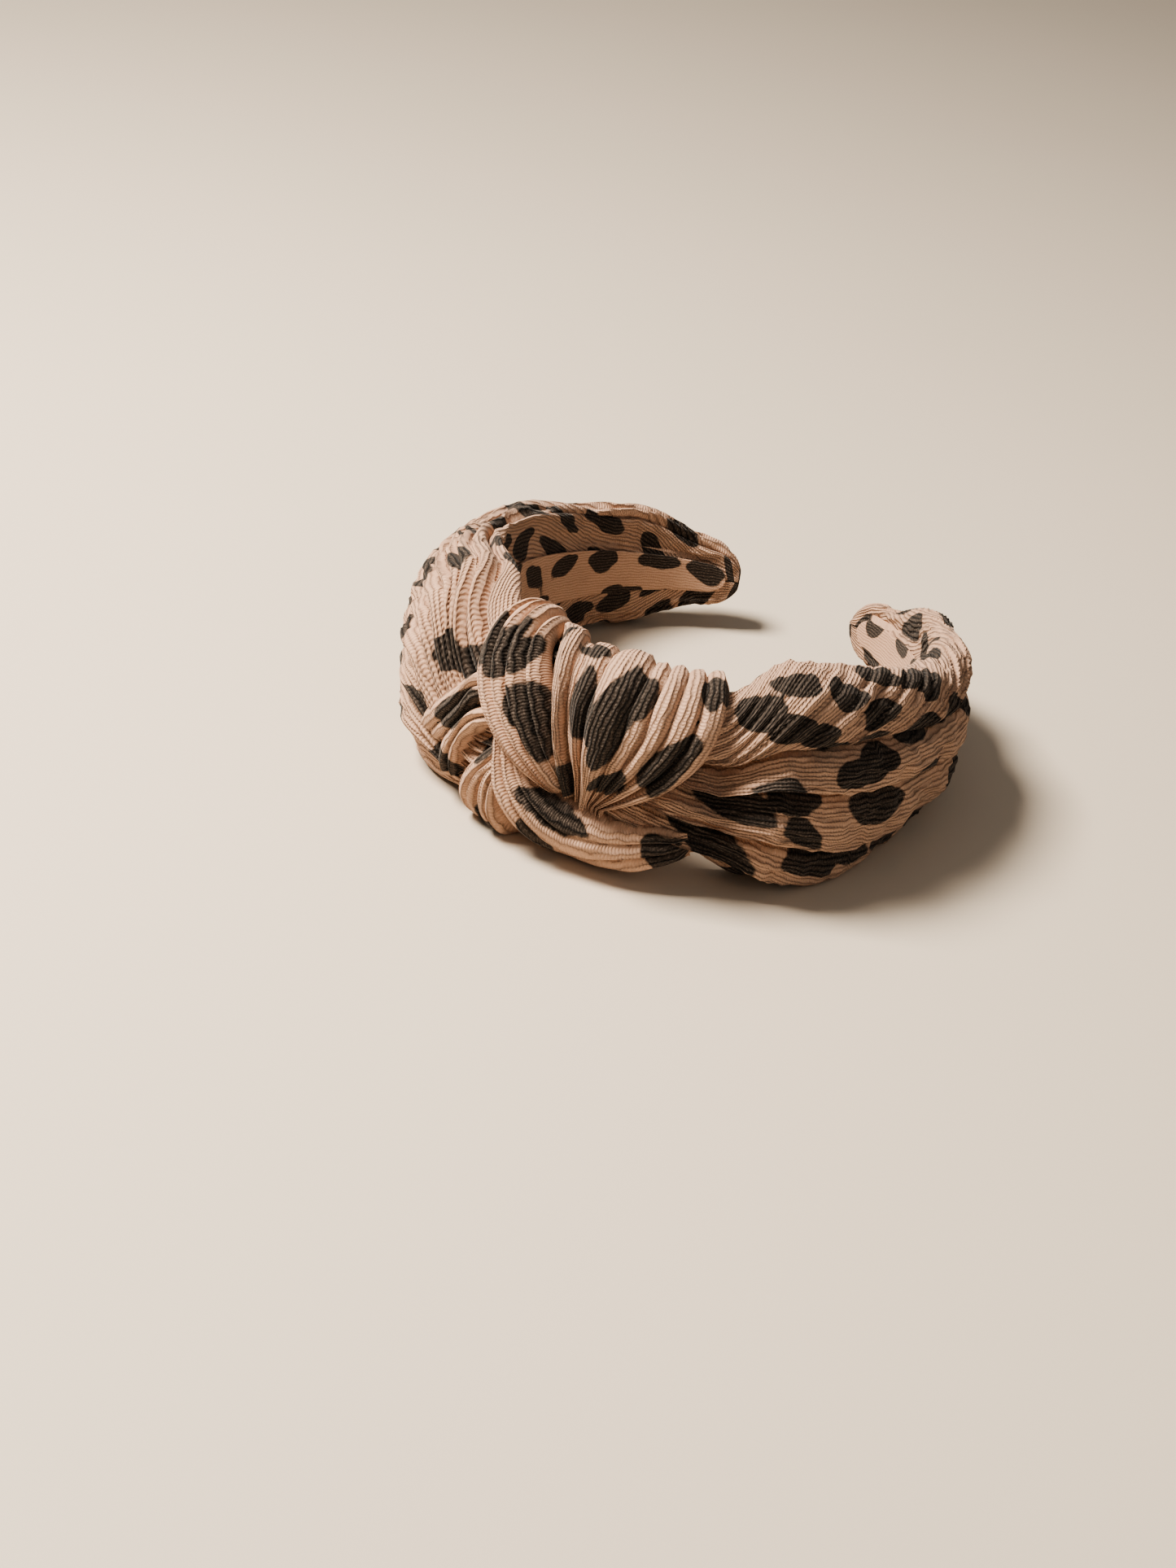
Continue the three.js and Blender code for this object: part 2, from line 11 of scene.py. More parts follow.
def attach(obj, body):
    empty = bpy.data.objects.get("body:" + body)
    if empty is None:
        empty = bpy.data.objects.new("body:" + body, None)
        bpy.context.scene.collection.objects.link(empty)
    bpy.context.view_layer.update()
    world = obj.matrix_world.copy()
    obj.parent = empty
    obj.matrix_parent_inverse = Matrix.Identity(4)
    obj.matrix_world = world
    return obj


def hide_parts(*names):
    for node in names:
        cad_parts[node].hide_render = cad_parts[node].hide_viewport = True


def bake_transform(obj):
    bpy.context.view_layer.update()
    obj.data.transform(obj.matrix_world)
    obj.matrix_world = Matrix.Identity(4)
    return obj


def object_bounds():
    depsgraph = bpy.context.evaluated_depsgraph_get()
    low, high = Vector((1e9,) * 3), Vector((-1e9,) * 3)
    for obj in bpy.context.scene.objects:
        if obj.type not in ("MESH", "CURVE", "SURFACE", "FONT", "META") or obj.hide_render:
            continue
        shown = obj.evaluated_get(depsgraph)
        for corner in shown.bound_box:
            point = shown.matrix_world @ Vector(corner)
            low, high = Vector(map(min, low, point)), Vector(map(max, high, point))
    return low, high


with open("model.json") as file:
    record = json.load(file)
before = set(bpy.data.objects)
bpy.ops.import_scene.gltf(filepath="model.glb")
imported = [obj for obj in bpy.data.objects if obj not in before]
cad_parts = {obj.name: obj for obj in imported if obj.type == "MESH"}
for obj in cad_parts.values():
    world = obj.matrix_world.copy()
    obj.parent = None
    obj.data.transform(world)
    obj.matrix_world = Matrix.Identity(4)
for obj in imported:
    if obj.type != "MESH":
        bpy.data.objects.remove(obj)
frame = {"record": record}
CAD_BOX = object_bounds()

bl_info = {
    "name": "Knotted Headband",
    "version": (1, 0, 0),
    "blender": (4, 5, 0),
    "location": "3D View > Sidebar > Headband",
    "description": "Builds the knit cover, knot, lining, foam and finishes of a padded headband",
    "category": "Object",
}

# ---------- Layout of the band, in millimetres, as the CAD has it ----------

MM = 0.001
HOOP_HALF_WIDTH = 66.0
HOOP_DEPTH_RADIUS = 73.6
HOOP_END_ANGLE = 158.5
HOOP_CROWN_WIDTH = 38.0
HOOP_TIP_WIDTH = 11.0
GAP = 0.3
CLEARANCE = 0.45
LAP_LENGTH = 6.0
LAP_TOP = -1.2
LAP_BACK = -2.2
LINING_TOP = -2.5
LINING_BACK = -3.3
LINING_INSET = 1.2
PAD_BASE = 1.2
PAD_END_SETBACK = 4.0
KNOT_LEFT = -26.0
KNOT_RIGHT = 35.5
UNDER_FROM = -14.0
UNDER_TO = 12.0
FLEX_AT = 40.0
SWELL_AT = 52.0
PIVOT_PROUD = 0.25
COVER_TIP_OVERHANG = 3.5
COVER_EDGE_LEVEL = 0.5
COVER_EDGE_ROLL = 3.0
ROUNDNESS = 2.3
SLIT = 0.15
TIP_CLOSING = 0.03

ANGLES = np.radians(np.linspace(-HOOP_END_ANGLE, HOOP_END_ANGLE, 6001))
LINE = np.stack([HOOP_HALF_WIDTH * np.sin(ANGLES), HOOP_DEPTH_RADIUS * (1 - np.cos(ANGLES))], axis=1)
LENGTHS = np.concatenate([[0], np.cumsum(np.hypot(*np.diff(LINE, axis=0).T))])
LENGTHS -= LENGTHS[-1] / 2
HALF_LENGTH = LENGTHS[-1]
COVER_END = HALF_LENGTH + COVER_TIP_OVERHANG
PAD_END = HALF_LENGTH - PAD_END_SETBACK
LINING_END = HALF_LENGTH - LINING_INSET
HOOP_TIP_RADIUS = HOOP_TIP_WIDTH / 2
COVER_TIP_RADIUS = 10.5


def lerp(a, b, t):
    return a + (b - a) * t


def smoothstep(low, high, x):
    t = np.clip((x - low) / (high - low), 0, 1)
    return t * t * (3 - 2 * t)


def hoop_half(s):
    return lerp(HOOP_CROWN_WIDTH, HOOP_TIP_WIDTH, np.abs(s) / HALF_LENGTH) / 2


def stations(side):
    neck = -KNOT_LEFT if side == "left" else KNOT_RIGHT
    return [0, neck, SWELL_AT, HALF_LENGTH - 88, HALF_LENGTH - 39, HALF_LENGTH]


PAD_HEIGHTS = [4.6, 4.6, 11, 9, 6.5, 3.6]
OVERHANG_ABOVE = [2.5, 4.8, 15.6, 13.4, 12.3, 5]
OVERHANG_BELOW = [7, 14, 19.6, 16.4, 12.3, 5]
GATHERS = {"left": [5.4, 7.4, 11, 10.5, 4.3, 3.8], "right": [5.4, 6.4, 7, 6.3, 4.3, 3.8]}


def ease_along(side, values, s):
    """A value that eases from station to station between the crown and a tip."""
    places = stations(side)
    distance = np.abs(s)
    result = np.full(np.shape(distance), float(values[-1]))
    for k in range(len(places) - 1, 0, -1):
        share = smoothstep(places[k - 1], places[k], distance)
        result = np.where(distance < places[k], lerp(values[k - 1], values[k], share), result)
    return result


def cover_size(side, s):
    """How far the cover reaches above and below the hoop's middle, and its height over it."""
    half = [hoop_half(place) for place in stations(side)]
    above = ease_along(side, [a + b for a, b in zip(half, OVERHANG_ABOVE)], s)
    below = ease_along(side, [a + b for a, b in zip(half, OVERHANG_BELOW)], s)
    height = ease_along(side, [a + b for a, b in zip(PAD_HEIGHTS, GATHERS[side])], s)
    return above, below, height


def hoop_frame(s):
    """Points on the hoop line, its direction and the way out of it."""
    held = np.clip(s, -HALF_LENGTH, HALF_LENGTH)
    angle = np.interp(held, LENGTHS, ANGLES)
    along = np.stack([HOOP_HALF_WIDTH * np.cos(angle), HOOP_DEPTH_RADIUS * np.sin(angle)], axis=-1)
    along /= np.linalg.norm(along, axis=-1, keepdims=True)
    point = np.stack([HOOP_HALF_WIDTH * np.sin(angle), HOOP_DEPTH_RADIUS * (1 - np.cos(angle))], axis=-1)
    point = point + along * (s - held)[..., None]
    out = np.stack([along[..., 1], -along[..., 0]], axis=-1)
    return point, along, out


def place(s, z, n):
    """The point at (s, z, n) in the band's own frame, in millimetres."""
    s, z, n = np.broadcast_arrays(np.asarray(s, float), z, n)
    point, _, out = hoop_frame(s)
    flat = point + out * n[..., None]
    return np.concatenate([flat, z[..., None]], axis=-1)


# The band lies tilted on its lower edge: the flex hinges say how it is turned and where it lies.
HINGES = {joint["name"]: joint for joint in frame["record"]["behaviour"]["joints"]}
BAND_UP = Vector(HINGES["left_arm_flex"]["axis"]).normalized()
TURN = np.array([[1, 0, 0], [0, BAND_UP.z, BAND_UP.y], [0, -BAND_UP.y, BAND_UP.z]])


def hinge_in_band(side):
    s = -FLEX_AT if side == "left" else FLEX_AT
    height = cover_size(side, np.array(s))[2]
    return place(s, 0.0, height + PIVOT_PROUD)


def rest_shift():
    shifts = [
        np.array(HINGES[f"{side}_arm_flex"]["pos_m"]) - TURN @ hinge_in_band(side) * MM
        for side in ("left", "right")
    ]
    return sum(shifts) / 2


SHIFT = rest_shift()


def to_row(points):
    """Points of the band's own frame, in the row's frame and in metres."""
    return points @ TURN.T * MM + SHIFT


# ---------- The cover's section and surface ----------

LAP_POINTS = 12
ROLL_POINTS = 9
DOME_POINTS = 121


def tip_rounding(s, end, radius, least):
    """The share of its full width that a section keeps as its end rounds off."""
    past = np.clip((np.abs(s) - (end - radius)) / radius, 0, 1)
    return np.maximum(least, np.sqrt(np.maximum(0, 1 - past * past)))


def slot_half(s):
    """Half the width of the slot between the laps, which closes toward the tip."""
    slot = np.maximum(hoop_half(s) - LAP_LENGTH, SLIT)[:, None]
    return lerp(slot, SLIT, smoothstep(HALF_LENGTH - 30, HALF_LENGTH - LAP_LENGTH, np.abs(s))[:, None])


def dome(theta):
    """The dome of a section, as its unit reach across and up."""
    across = np.sign(np.cos(theta)) * np.abs(np.cos(theta)) ** (2 / ROUNDNESS)
    return across, np.maximum(0, np.sin(theta)) ** (2 / ROUNDNESS)


def cover_outline(side, s):
    """Outer outlines, from the upper lap over the outside to the lower lap, one row for each s."""
    above, below, height = cover_size(side, s)
    rounding = tip_rounding(s, COVER_END, COVER_TIP_RADIUS, TIP_CLOSING)
    half = ((above + below) / 2 * rounding)[:, None]
    middle = ((above - below) / 2 * rounding)[:, None]
    top = lerp(COVER_EDGE_LEVEL, height, np.sqrt(rounding))[:, None]
    roll = np.minimum(COVER_EDGE_ROLL, half / 2)
    slot = np.minimum(slot_half(s), half - roll)
    t = np.linspace(0, 1, LAP_POINTS)[None, :]
    lap = [(lerp(slot, middle + half - roll, t), LAP_BACK), (lerp(middle - half + roll, -slot, t), LAP_BACK)]
    phi = np.linspace(0, math.pi / 2, ROLL_POINTS)[None, :]
    rim = half - roll + roll * np.sin(phi)
    rim_level = COVER_EDGE_LEVEL + (LAP_BACK - COVER_EDGE_LEVEL) * np.cos(phi)
    across, up = dome(np.linspace(0, math.pi, DOME_POINTS)[None, :])
    z = [lap[0][0], middle + rim, middle + half * across, (middle - rim)[:, ::-1], lap[1][0]]
    n = [
        np.full_like(z[0], LAP_BACK),
        np.broadcast_to(rim_level, rim.shape),
        COVER_EDGE_LEVEL + (top - COVER_EDGE_LEVEL) * up,
        np.broadcast_to(rim_level[:, ::-1], rim.shape),
        np.full_like(z[4], LAP_BACK),
    ]
    keep = [slice(0, -1), slice(0, -1), slice(0, None), slice(1, None), slice(1, None)]
    z = np.concatenate([part[:, cut] for part, cut in zip(z, keep)], axis=1)
    n = np.concatenate([part[:, cut] for part, cut in zip(n, keep)], axis=1)
    return z, n


MIDDLE_INDEX = (LAP_POINTS - 1) + (ROLL_POINTS - 1) + DOME_POINTS // 2
EDGE_INDEX = (LAP_POINTS - 1) + (ROLL_POINTS - 1)


def outline_lengths(z, n):
    steps = np.hypot(np.diff(z, axis=1), np.diff(n, axis=1))
    return np.concatenate([np.zeros((len(z), 1)), np.cumsum(steps, axis=1)], axis=1)


class CoverSurface:
    """The cover's outside round the knot, as points and normals over s and w.

    w is the distance across the cover from its outermost line, and grows toward the upper edge."""

    def __init__(self):
        self.s = np.arange(-70.0, 71.0, 1.0)
        self.w = np.arange(-80.0, 80.5, 0.5)
        rows = []
        self.edge = np.zeros(len(self.s))
        for i, s in enumerate(self.s):
            z, n = cover_outline("left" if s < 0 else "right", np.array([s]))
            length = outline_lengths(z, n)[0]
            w = length[MIDDLE_INDEX] - length
            self.edge[i] = w[EDGE_INDEX]
            rows.append((np.interp(self.w, w[::-1], z[0][::-1]), np.interp(self.w, w[::-1], n[0][::-1])))
        self.z = np.array([row[0] for row in rows])
        self.n = np.array([row[1] for row in rows])
        self.points = place(self.s[:, None], self.z, self.n)
        ds = np.gradient(self.points, axis=0)
        dw = np.gradient(self.points, axis=1)
        normals = np.cross(ds, dw)
        lengths = np.linalg.norm(normals, axis=-1, keepdims=True)
        self.normals = normals / np.maximum(lengths, 1e-9)
        outward = place(self.s[:, None], self.z * 0, self.n * 0 + 3.0)
        flip = np.sign(np.sum((self.points - outward) * self.normals, axis=-1, keepdims=True))
        self.normals *= np.where(flip == 0, 1, flip)

    def sample(self, table, s, w):
        i = np.clip((s - self.s[0]), 0, len(self.s) - 1.001)
        j = np.clip((w - self.w[0]) / 0.5, 0, len(self.w) - 1.001)
        i0, j0 = i.astype(int), j.astype(int)
        fi, fj = i - i0, j - j0
        if table.ndim == 3:
            fi, fj = fi[..., None], fj[..., None]
        low = lerp(table[i0, j0], table[i0, j0 + 1], fj)
        high = lerp(table[i0 + 1, j0], table[i0 + 1, j0 + 1], fj)
        return lerp(low, high, fi)

    def at(self, s, w, lift):
        s, w, lift = np.broadcast_arrays(s, w, lift)
        normal = self.sample(self.normals, s, w)
        normal = normal / np.maximum(np.linalg.norm(normal, axis=-1, keepdims=True), 1e-9)
        return self.sample(self.points, s, w) + normal * lift[..., None]

    def upper_edge(self, s):
        return np.interp(s, self.s, self.edge)


SURFACE = CoverSurface()


# ---------- Small tools for meshes ----------


def ripple(a, b, size, seed):
    """Smooth seeded unevenness from about -1 to 1, for two fields of coordinates."""
    rng = np.random.default_rng(seed)
    total = np.zeros(np.broadcast(a, b).shape)
    for _ in range(9):
        angle, phase = rng.uniform(0, 2 * math.pi, 2)
        scale = 2 * math.pi / (size * rng.uniform(0.7, 1.6))
        total += np.sin(scale * (a * math.cos(angle) + b * math.sin(angle)) + phase)
    return total / 4.5


def grid_faces(rows, columns, wrap=False):
    """Quads over a grid of rows by columns of points."""
    i = np.arange(rows - 1)[:, None]
    j = np.arange(columns if wrap else columns - 1)[None, :]
    a = i * columns + j
    b = i * columns + (j + 1) % columns
    quads = np.stack([a, b, b + columns, a + columns], axis=-1)
    return quads.reshape(-1, 4)


def rounded_rows(start, end, radius, step, count):
    """Distances from a start to a rounded end, a step apart and then closer round the end."""
    straight = end - radius
    rounded = straight + radius * np.sin(np.linspace(0, 0.5 * math.pi, count))
    return np.concatenate([np.arange(start, straight, step), rounded])


def tube_faces(rows, columns):
    """Faces of a closed tube over a grid, with one face at each end."""
    faces = [tuple(face) for face in grid_faces(rows, columns, wrap=True)]
    last = (rows - 1) * columns
    return faces + [tuple(range(columns))[::-1], tuple(last + j for j in range(columns))]


def shell_faces(rows, columns, outer):
    """Faces of a shell whose first columns are the outside and the rest the inside."""
    faces = [tuple(face) for face in grid_faces(rows, columns, wrap=True)]
    for row in (0, rows - 1):
        outer_rim = [row * columns + j for j in range(outer)]
        room_rim = [row * columns + j for j in range(columns - 1, outer - 1, -1)]
        cap = zip_rims(outer_rim, room_rim)
        faces += cap if row == 0 else [tuple(reversed(face)) for face in cap]
    return faces


def zip_rims(first, second):
    """Faces that join two rows of points with different counts."""
    faces = []
    i, j = 0, 0
    while i < len(first) - 1 or j < len(second) - 1:
        next_i = (i + 1) / (len(first) - 1)
        next_j = (j + 1) / (len(second) - 1)
        if i < len(first) - 1 and (next_i <= next_j or j == len(second) - 1):
            faces.append((first[i], first[i + 1], second[j]))
            i += 1
        else:
            faces.append((first[i], second[j + 1], second[j]))
            j += 1
    return faces


def make_piece(name, points, faces, fabric, material, flip=False):
    """A smooth-shaded mesh object; fabric holds along, across and print for each point."""
    mesh = bpy.data.meshes.new(name)
    if flip:
        faces = [tuple(reversed(face)) for face in faces]
    mesh.from_pydata(points.tolist(), [], [tuple(int(i) for i in face) for face in faces])
    if not len(mesh.polygons) or not np.isfinite(points).all():
        raise RuntimeError(f"{name} came out empty or broken")
    mesh.validate()
    attribute = mesh.attributes.new("fabric", "FLOAT_VECTOR", "POINT")
    attribute.data.foreach_set("vector", np.ascontiguousarray(fabric, np.float32).ravel())
    mesh.polygons.foreach_set("use_smooth", np.ones(len(mesh.polygons), bool))
    mesh.update()
    piece = bpy.data.objects.new(name, mesh)
    bpy.context.scene.collection.objects.link(piece)
    piece.data.materials.append(material)
    return piece


# Below this height, in metres, the cloth is pressed flat by the table.
PRESSED_HEIGHT = 0.0006


def lay_on_surface(points):
    """Presses points of the row frame that reach the table flat onto it."""
    low = points[:, 2] < PRESSED_HEIGHT
    points[low, 2] = PRESSED_HEIGHT * np.exp(np.maximum(points[low, 2] / PRESSED_HEIGHT - 1, -4))
    return points


# ---------- The animal print ----------

# The spots in front: s, w, half length, half width and slant in degrees.
HEAD_SPOTS = [
    (-24, 19.5, 6.2, 3.2, 88), (-19, 19, 7, 3.2, 86), (-14.5, 20, 4.6, 2.8, 80),
    (-7, 6, 10.5, 3.9, 117), (-12, 8, 5, 2.1, 115),
]
LOOP_SPOTS = [
    (0.5, -16.5, 9.8, 2.7, -16), (-4, -23, 5, 2.6, -20), (6, -31, 5, 2.6, 0), (28, -19, 6, 4.2, -16),
]
FAN_SPOTS = [
    (0, 25, 4.2, 1.8, 0), (3.5, 13, 8.2, 3.2, 104), (10.5, 13, 12, 4.4, 80), (15.5, 19.5, 5.2, 2.8, 85),
    (12.5, -4, 5.2, 2.8, 50), (24, 6, 10.2, 3.8, 62), (31, 25, 3.6, 2.8, 80), (35, 25.5, 2.6, 2.4, 80),
    (-10, 26, 2.6, 1.6, 60), (2, -8, 5, 2.4, 100),
]
COVER_SPOTS = [
    (42, 24, 5.5, 4.6, 20), (50, 20, 7, 4.3, -14), (56.5, 18, 5, 3.9, 5), (50, 32, 5.8, 3.3, 8),
    (63, 30, 6.2, 4.6, -15), (74, 23, 6, 4.6, 10), (86, 30, 4.2, 3, 0), (94, 28, 6.5, 5.5, -30),
    (61, 14, 5, 1.6, 4), (73, 15.5, 5.5, 1.7, 4), (49, 4, 5.6, 2.9, 8), (68, 6.5, 6, 4, 6),
    (75, 8, 6.2, 4.7, 10), (92, 14, 8.5, 4.5, 0), (40, -2.5, 11, 3.2, -16), (54, -2, 7, 2.9, -10),
    (57, -10, 7, 3.1, -38), (38, -16, 12.5, 3.5, -33), (29, -10, 4.2, 2.6, -20), (79, -6, 10, 4.5, -4),
    (63, -22, 8.2, 4.1, -16), (96, 0, 6.4, 3.5, -5), (108, 15, 5, 6, 70),
    (-30, -1, 9.5, 3.6, 53), (-18.5, -6.5, 5.2, 2.4, 60), (-35, -20, 5.2, 4, 40), (-37, 11, 5.6, 4.6, 80),
    (-31, 12, 5.2, 3, 85), (-51, 32, 4.5, 3, 0), (-21, -28, 5.4, 3, 60),
]
SPOT_CELL = (18.5, 14.0)
SPOT_APART = 11.5
PRINT_REACH = 205


def shaped(listed):
    """Listed spots with the slant in radians and a phase for their lobes."""
    return [(s, w, a, b, math.radians(slant), k * 1.7) for k, (s, w, a, b, slant) in enumerate(listed)]


def scattered_spots(listed, s_range, w_range, seed):
    """The listed spots, and more of them scattered over the rest of the cloth."""
    rng = np.random.default_rng(seed)
    rows = list(listed)
    for row, w in enumerate(np.arange(w_range[0], w_range[1], SPOT_CELL[1])):
        for s in np.arange(s_range[0] + (row % 2) * SPOT_CELL[0] / 2, s_range[1], SPOT_CELL[0]):
            at = (s + rng.uniform(-3.5, 3.5), w + rng.uniform(-2.5, 2.5))
            size = (rng.uniform(4.8, 7.6), rng.uniform(3.0, 4.4))
            slant = rng.uniform(-0.5, 0.5)
            near = [math.hypot(at[0] - r[0], at[1] - r[1]) < SPOT_APART for r in listed]
            if not any(near):
                rows.append((*at, *size, slant, rng.uniform(0, 6)))
                if rng.uniform() < 0.6:
                    turn = rng.uniform(0, 2 * math.pi)
                    side = (at[0] + size[0] * 0.8 * math.cos(turn), at[1] + size[1] * 0.9 * math.sin(turn))
                    rows.append((*side, size[0] * 0.6, size[1] * 0.75, slant, rng.uniform(0, 6)))
    return rows


def print_field(s, w, spots):
    """How far inside a spot each point lies, in millimetres; negative outside."""
    field = np.full(np.shape(s), -8.0)
    for at_s, at_w, a, b, slant, phase in spots:
        ds, dw = s - at_s, w - at_w
        x = (ds * math.cos(slant) + dw * math.sin(slant)) / a
        y = (-ds * math.sin(slant) + dw * math.cos(slant)) / b
        turn = np.arctan2(y, x)
        lobes = 1 + 0.09 * np.sin(3 * turn + phase) + 0.05 * np.sin(4 * turn + 2 * phase)
        radius = np.hypot(x, y)
        field = np.maximum(field, (lobes - radius) * b)
    return field


# ---------- Folds and pleats ----------


def in_folds(v, bounds):
    """Which fold each place lies in, and how far across it from 0 to 1.

    bounds has the creases' places for each row of v."""
    index, across = np.zeros(v.shape, int), np.zeros(v.shape)
    for k in range(bounds.shape[1] - 1):
        low, high = bounds[:, k:k + 1], bounds[:, k + 1:k + 2]
        x = (v - low) / np.maximum(high - low, 1e-6)
        inside = (x >= 0) & (x <= 1)
        index = np.where(inside, k, index)
        across = np.where(inside, x, across)
    return index, across


def bow(x, softness):
    """A fold's rounded rise, from 0 at either side to 1 in the middle."""
    return np.maximum(0, 1 - np.abs(2 * x - 1) ** 2.2) ** softness


def arches(v, bounds, heights, softness):
    """Rounded folds between creases: 0 on a crease and up to a fold's height on its crest."""
    index, x = in_folds(v, bounds)
    return bow(x, softness) * np.asarray(heights)[index]


def wandering(places, along, sway, seed):
    """Creases at these places across, each wandering a little as it runs along."""
    rng = np.random.default_rng(seed)
    columns = []
    for k, at in enumerate(places):
        phase = rng.uniform(0, 100)
        size = rng.uniform(18, 34)
        columns.append(at + sway * ripple(along + phase, np.zeros_like(along), size, seed + k))
    return np.stack(columns, axis=1)


def ridges(v, along, pitch, width, seed):
    """Narrow raised pleat lines about a pitch apart, fading in and out as they run."""
    rng = np.random.default_rng(seed)
    result = np.zeros(np.broadcast(v, along).shape)
    at = v.min() + rng.uniform(0.2, 0.8) * pitch
    while at < v.max():
        sway = 0.35 * pitch * ripple(along + 31 * at, np.zeros_like(along), 26, seed + int(at * 7) % 97)
        strength = 0.55 + 0.45 * ripple(along + 17 * at, np.zeros_like(along), 38, seed + 5)
        size = width * rng.uniform(0.8, 1.5)
        result = np.maximum(result, np.clip(strength, 0.1, 1) * np.exp(-((v - at - sway) / size) ** 2))
        at += pitch * rng.uniform(0.7, 1.35)
    return result


# Creases of each arm: (w where it leaves the knot, w at the swell), from the upper edge down.
ARM_CREASES = {
    "right": [(6, 13), (1, -2), (-9.5, -20), (-17, -34)],
    "left": [
        (16, 41), (8, 36.5), (3.5, 32), (-0.5, 28), (-4, 24), (-7.5, 17), (-11, 9), (-15, 0), (-19, -10),
        (-24, -22), (-29, -35),
    ],
}
# The folds between them: how high each crest stands, and how deep the crease over it can be.
ARM_FOLD_HEIGHTS = {
    "right": [1.5, 0.9, 1.3, 1.2, 0.9],
    "left": [0.2, 0.9, 1.3, 1.0, 0.8, 1.2, 1.0, 1.2, 1.0, 1.1, 1.0, 0.8],
}
# Where each arm's gathers leave the knot, and where its cover is at its widest.
ARM_GATHER = {"right": (28.0, 76.0), "left": (30.0, 48.0)}
# How far the pleats of the uppermost fold slant, and where an arm sags: along, w and how much.
ARM_SLANT = {"right": 0.95, "left": 0.0}
ARM_SAG = {"right": (72, -30, 3.0), "left": (70, -30, 1.5)}
ARM_SEEDS = {"left": 11, "right": 42}
ROOM_DOME_POINTS = 22
# The cloth's girth at the swell, that of the knit it is made of, and the pitch of the fine pleats.
SWELL_GIRTH = 135
KNIT_GIRTH = 150
PLEAT_PITCH = 6.5


def arm_columns():
    """Places across the cloth for an arm's columns: coarse on the laps, fine on the outside."""
    return np.concatenate([
        np.linspace(0, 0.10, 10)[:-1], np.linspace(0.10, 0.17, 16)[:-1], np.linspace(0.17, 0.83, 250),
        np.linspace(0.83, 0.90, 16)[1:], np.linspace(0.90, 1, 10)[1:],
    ])


def share_at(side, s, w):
    """How far round the section a place w lies, from 0 to 1."""
    length = outline_lengths(*cover_outline(side, np.array([float(s)])))[0]
    return float((length[MIDDLE_INDEX] - w) / length[-1])


def shell_room(side, s):
    """Outlines of the room inside the cover, from the lower lap's end to the upper lap's end."""
    rounding = tip_rounding(s, HALF_LENGTH + GAP, HOOP_TIP_RADIUS + GAP, TIP_CLOSING)
    half = (hoop_half(s) * rounding + CLEARANCE)[:, None]
    top = (ease_along(side, PAD_HEIGHTS, s) + CLEARANCE)[:, None]
    slot = np.minimum(slot_half(s), half)
    across, up = dome(np.linspace(math.pi, 0, ROOM_DOME_POINTS)[None, :])
    dome_z = half * across
    dome_n = PAD_BASE + (top - PAD_BASE) * up
    z = np.concatenate([-slot, -half, dome_z, half, slot], axis=1)
    level = np.full_like(half, LAP_TOP)
    n = np.concatenate([level, level, dome_n, level, level], axis=1)
    return z, n


# The coarser grid that the cloth simulation runs on, and for how many frames.
CLOTH_ROW_STEP = 3
CLOTH_COLUMN_STEP = 4
CLOTH_FRAMES = 20


def settle_cloth(points, hold, folds):
    """Lets the cloth between its creases fill out under pressure, and gives back the moved points.

    points is a grid in millimetres; hold says how firmly each one is held, from 0 to 1."""
    rows = np.unique(np.append(np.arange(0, points.shape[0], CLOTH_ROW_STEP), points.shape[0] - 1))
    columns = np.unique(np.append(np.arange(0, points.shape[1], CLOTH_COLUMN_STEP), points.shape[1] - 1))
    rest = points[np.ix_(rows, columns)]
    held = hold[np.ix_(rows, columns)].copy()
    held[[0, -1], :] = 1
    held[:, [0, -1]] = 1
    mesh = bpy.data.meshes.new("cloth_grid")
    mesh.from_pydata((rest.reshape(-1, 3) * MM).tolist(), [], grid_faces(len(rows), len(columns)).tolist())
    cloth_object = bpy.data.objects.new("cloth_grid", mesh)
    scene = bpy.context.scene
    scene.collection.objects.link(cloth_object)
    group = cloth_object.vertex_groups.new(name="held")
    for index, weight in enumerate(held.ravel()):
        group.add([index], float(weight), "REPLACE")
    cloth = cloth_object.modifiers.new("cloth", "CLOTH")
    cloth.settings.vertex_group_mass = "held"
    cloth.settings.quality = 6
    cloth.settings.mass = 0.0005
    cloth.settings.tension_stiffness = cloth.settings.compression_stiffness = 4.0
    cloth.settings.shear_stiffness = 1.0
    cloth.settings.bending_stiffness = 0.002
    cloth.settings.shrink_min = -folds.cloth_ease
    cloth.settings.use_pressure = True
    cloth.settings.uniform_pressure_force = folds.cloth_pressure
    cloth.settings.effector_weights.gravity = 0
    for number in range(1, CLOTH_FRAMES + 1):
        scene.frame_set(number)
    settled = cloth_object.evaluated_get(bpy.context.evaluated_depsgraph_get())
    moved = np.zeros(len(mesh.vertices) * 3)
    settled.data.vertices.foreach_get("co", moved)
    scene.frame_set(1)
    bpy.data.objects.remove(cloth_object)
    shift = moved.reshape(rest.shape) / MM - rest
    size = np.linalg.norm(shift, axis=-1, keepdims=True)
    shift = shift / np.maximum(1, size / (folds.cloth_reach / MM))
    partway = spread(shift, rows, points.shape[0])
    whole = spread(partway.swapaxes(0, 1), columns, points.shape[1]).swapaxes(0, 1)
    return points + whole


def spread(values, at, count):
    """Values known at some rows, spread in straight lines over all the rows."""
    flat = values.reshape(len(at), -1)
    rows = np.arange(count)
    filled = np.stack([np.interp(rows, at, flat[:, k]) for k in range(flat.shape[1])], axis=1)
    return filled.reshape(count, *values.shape[1:])


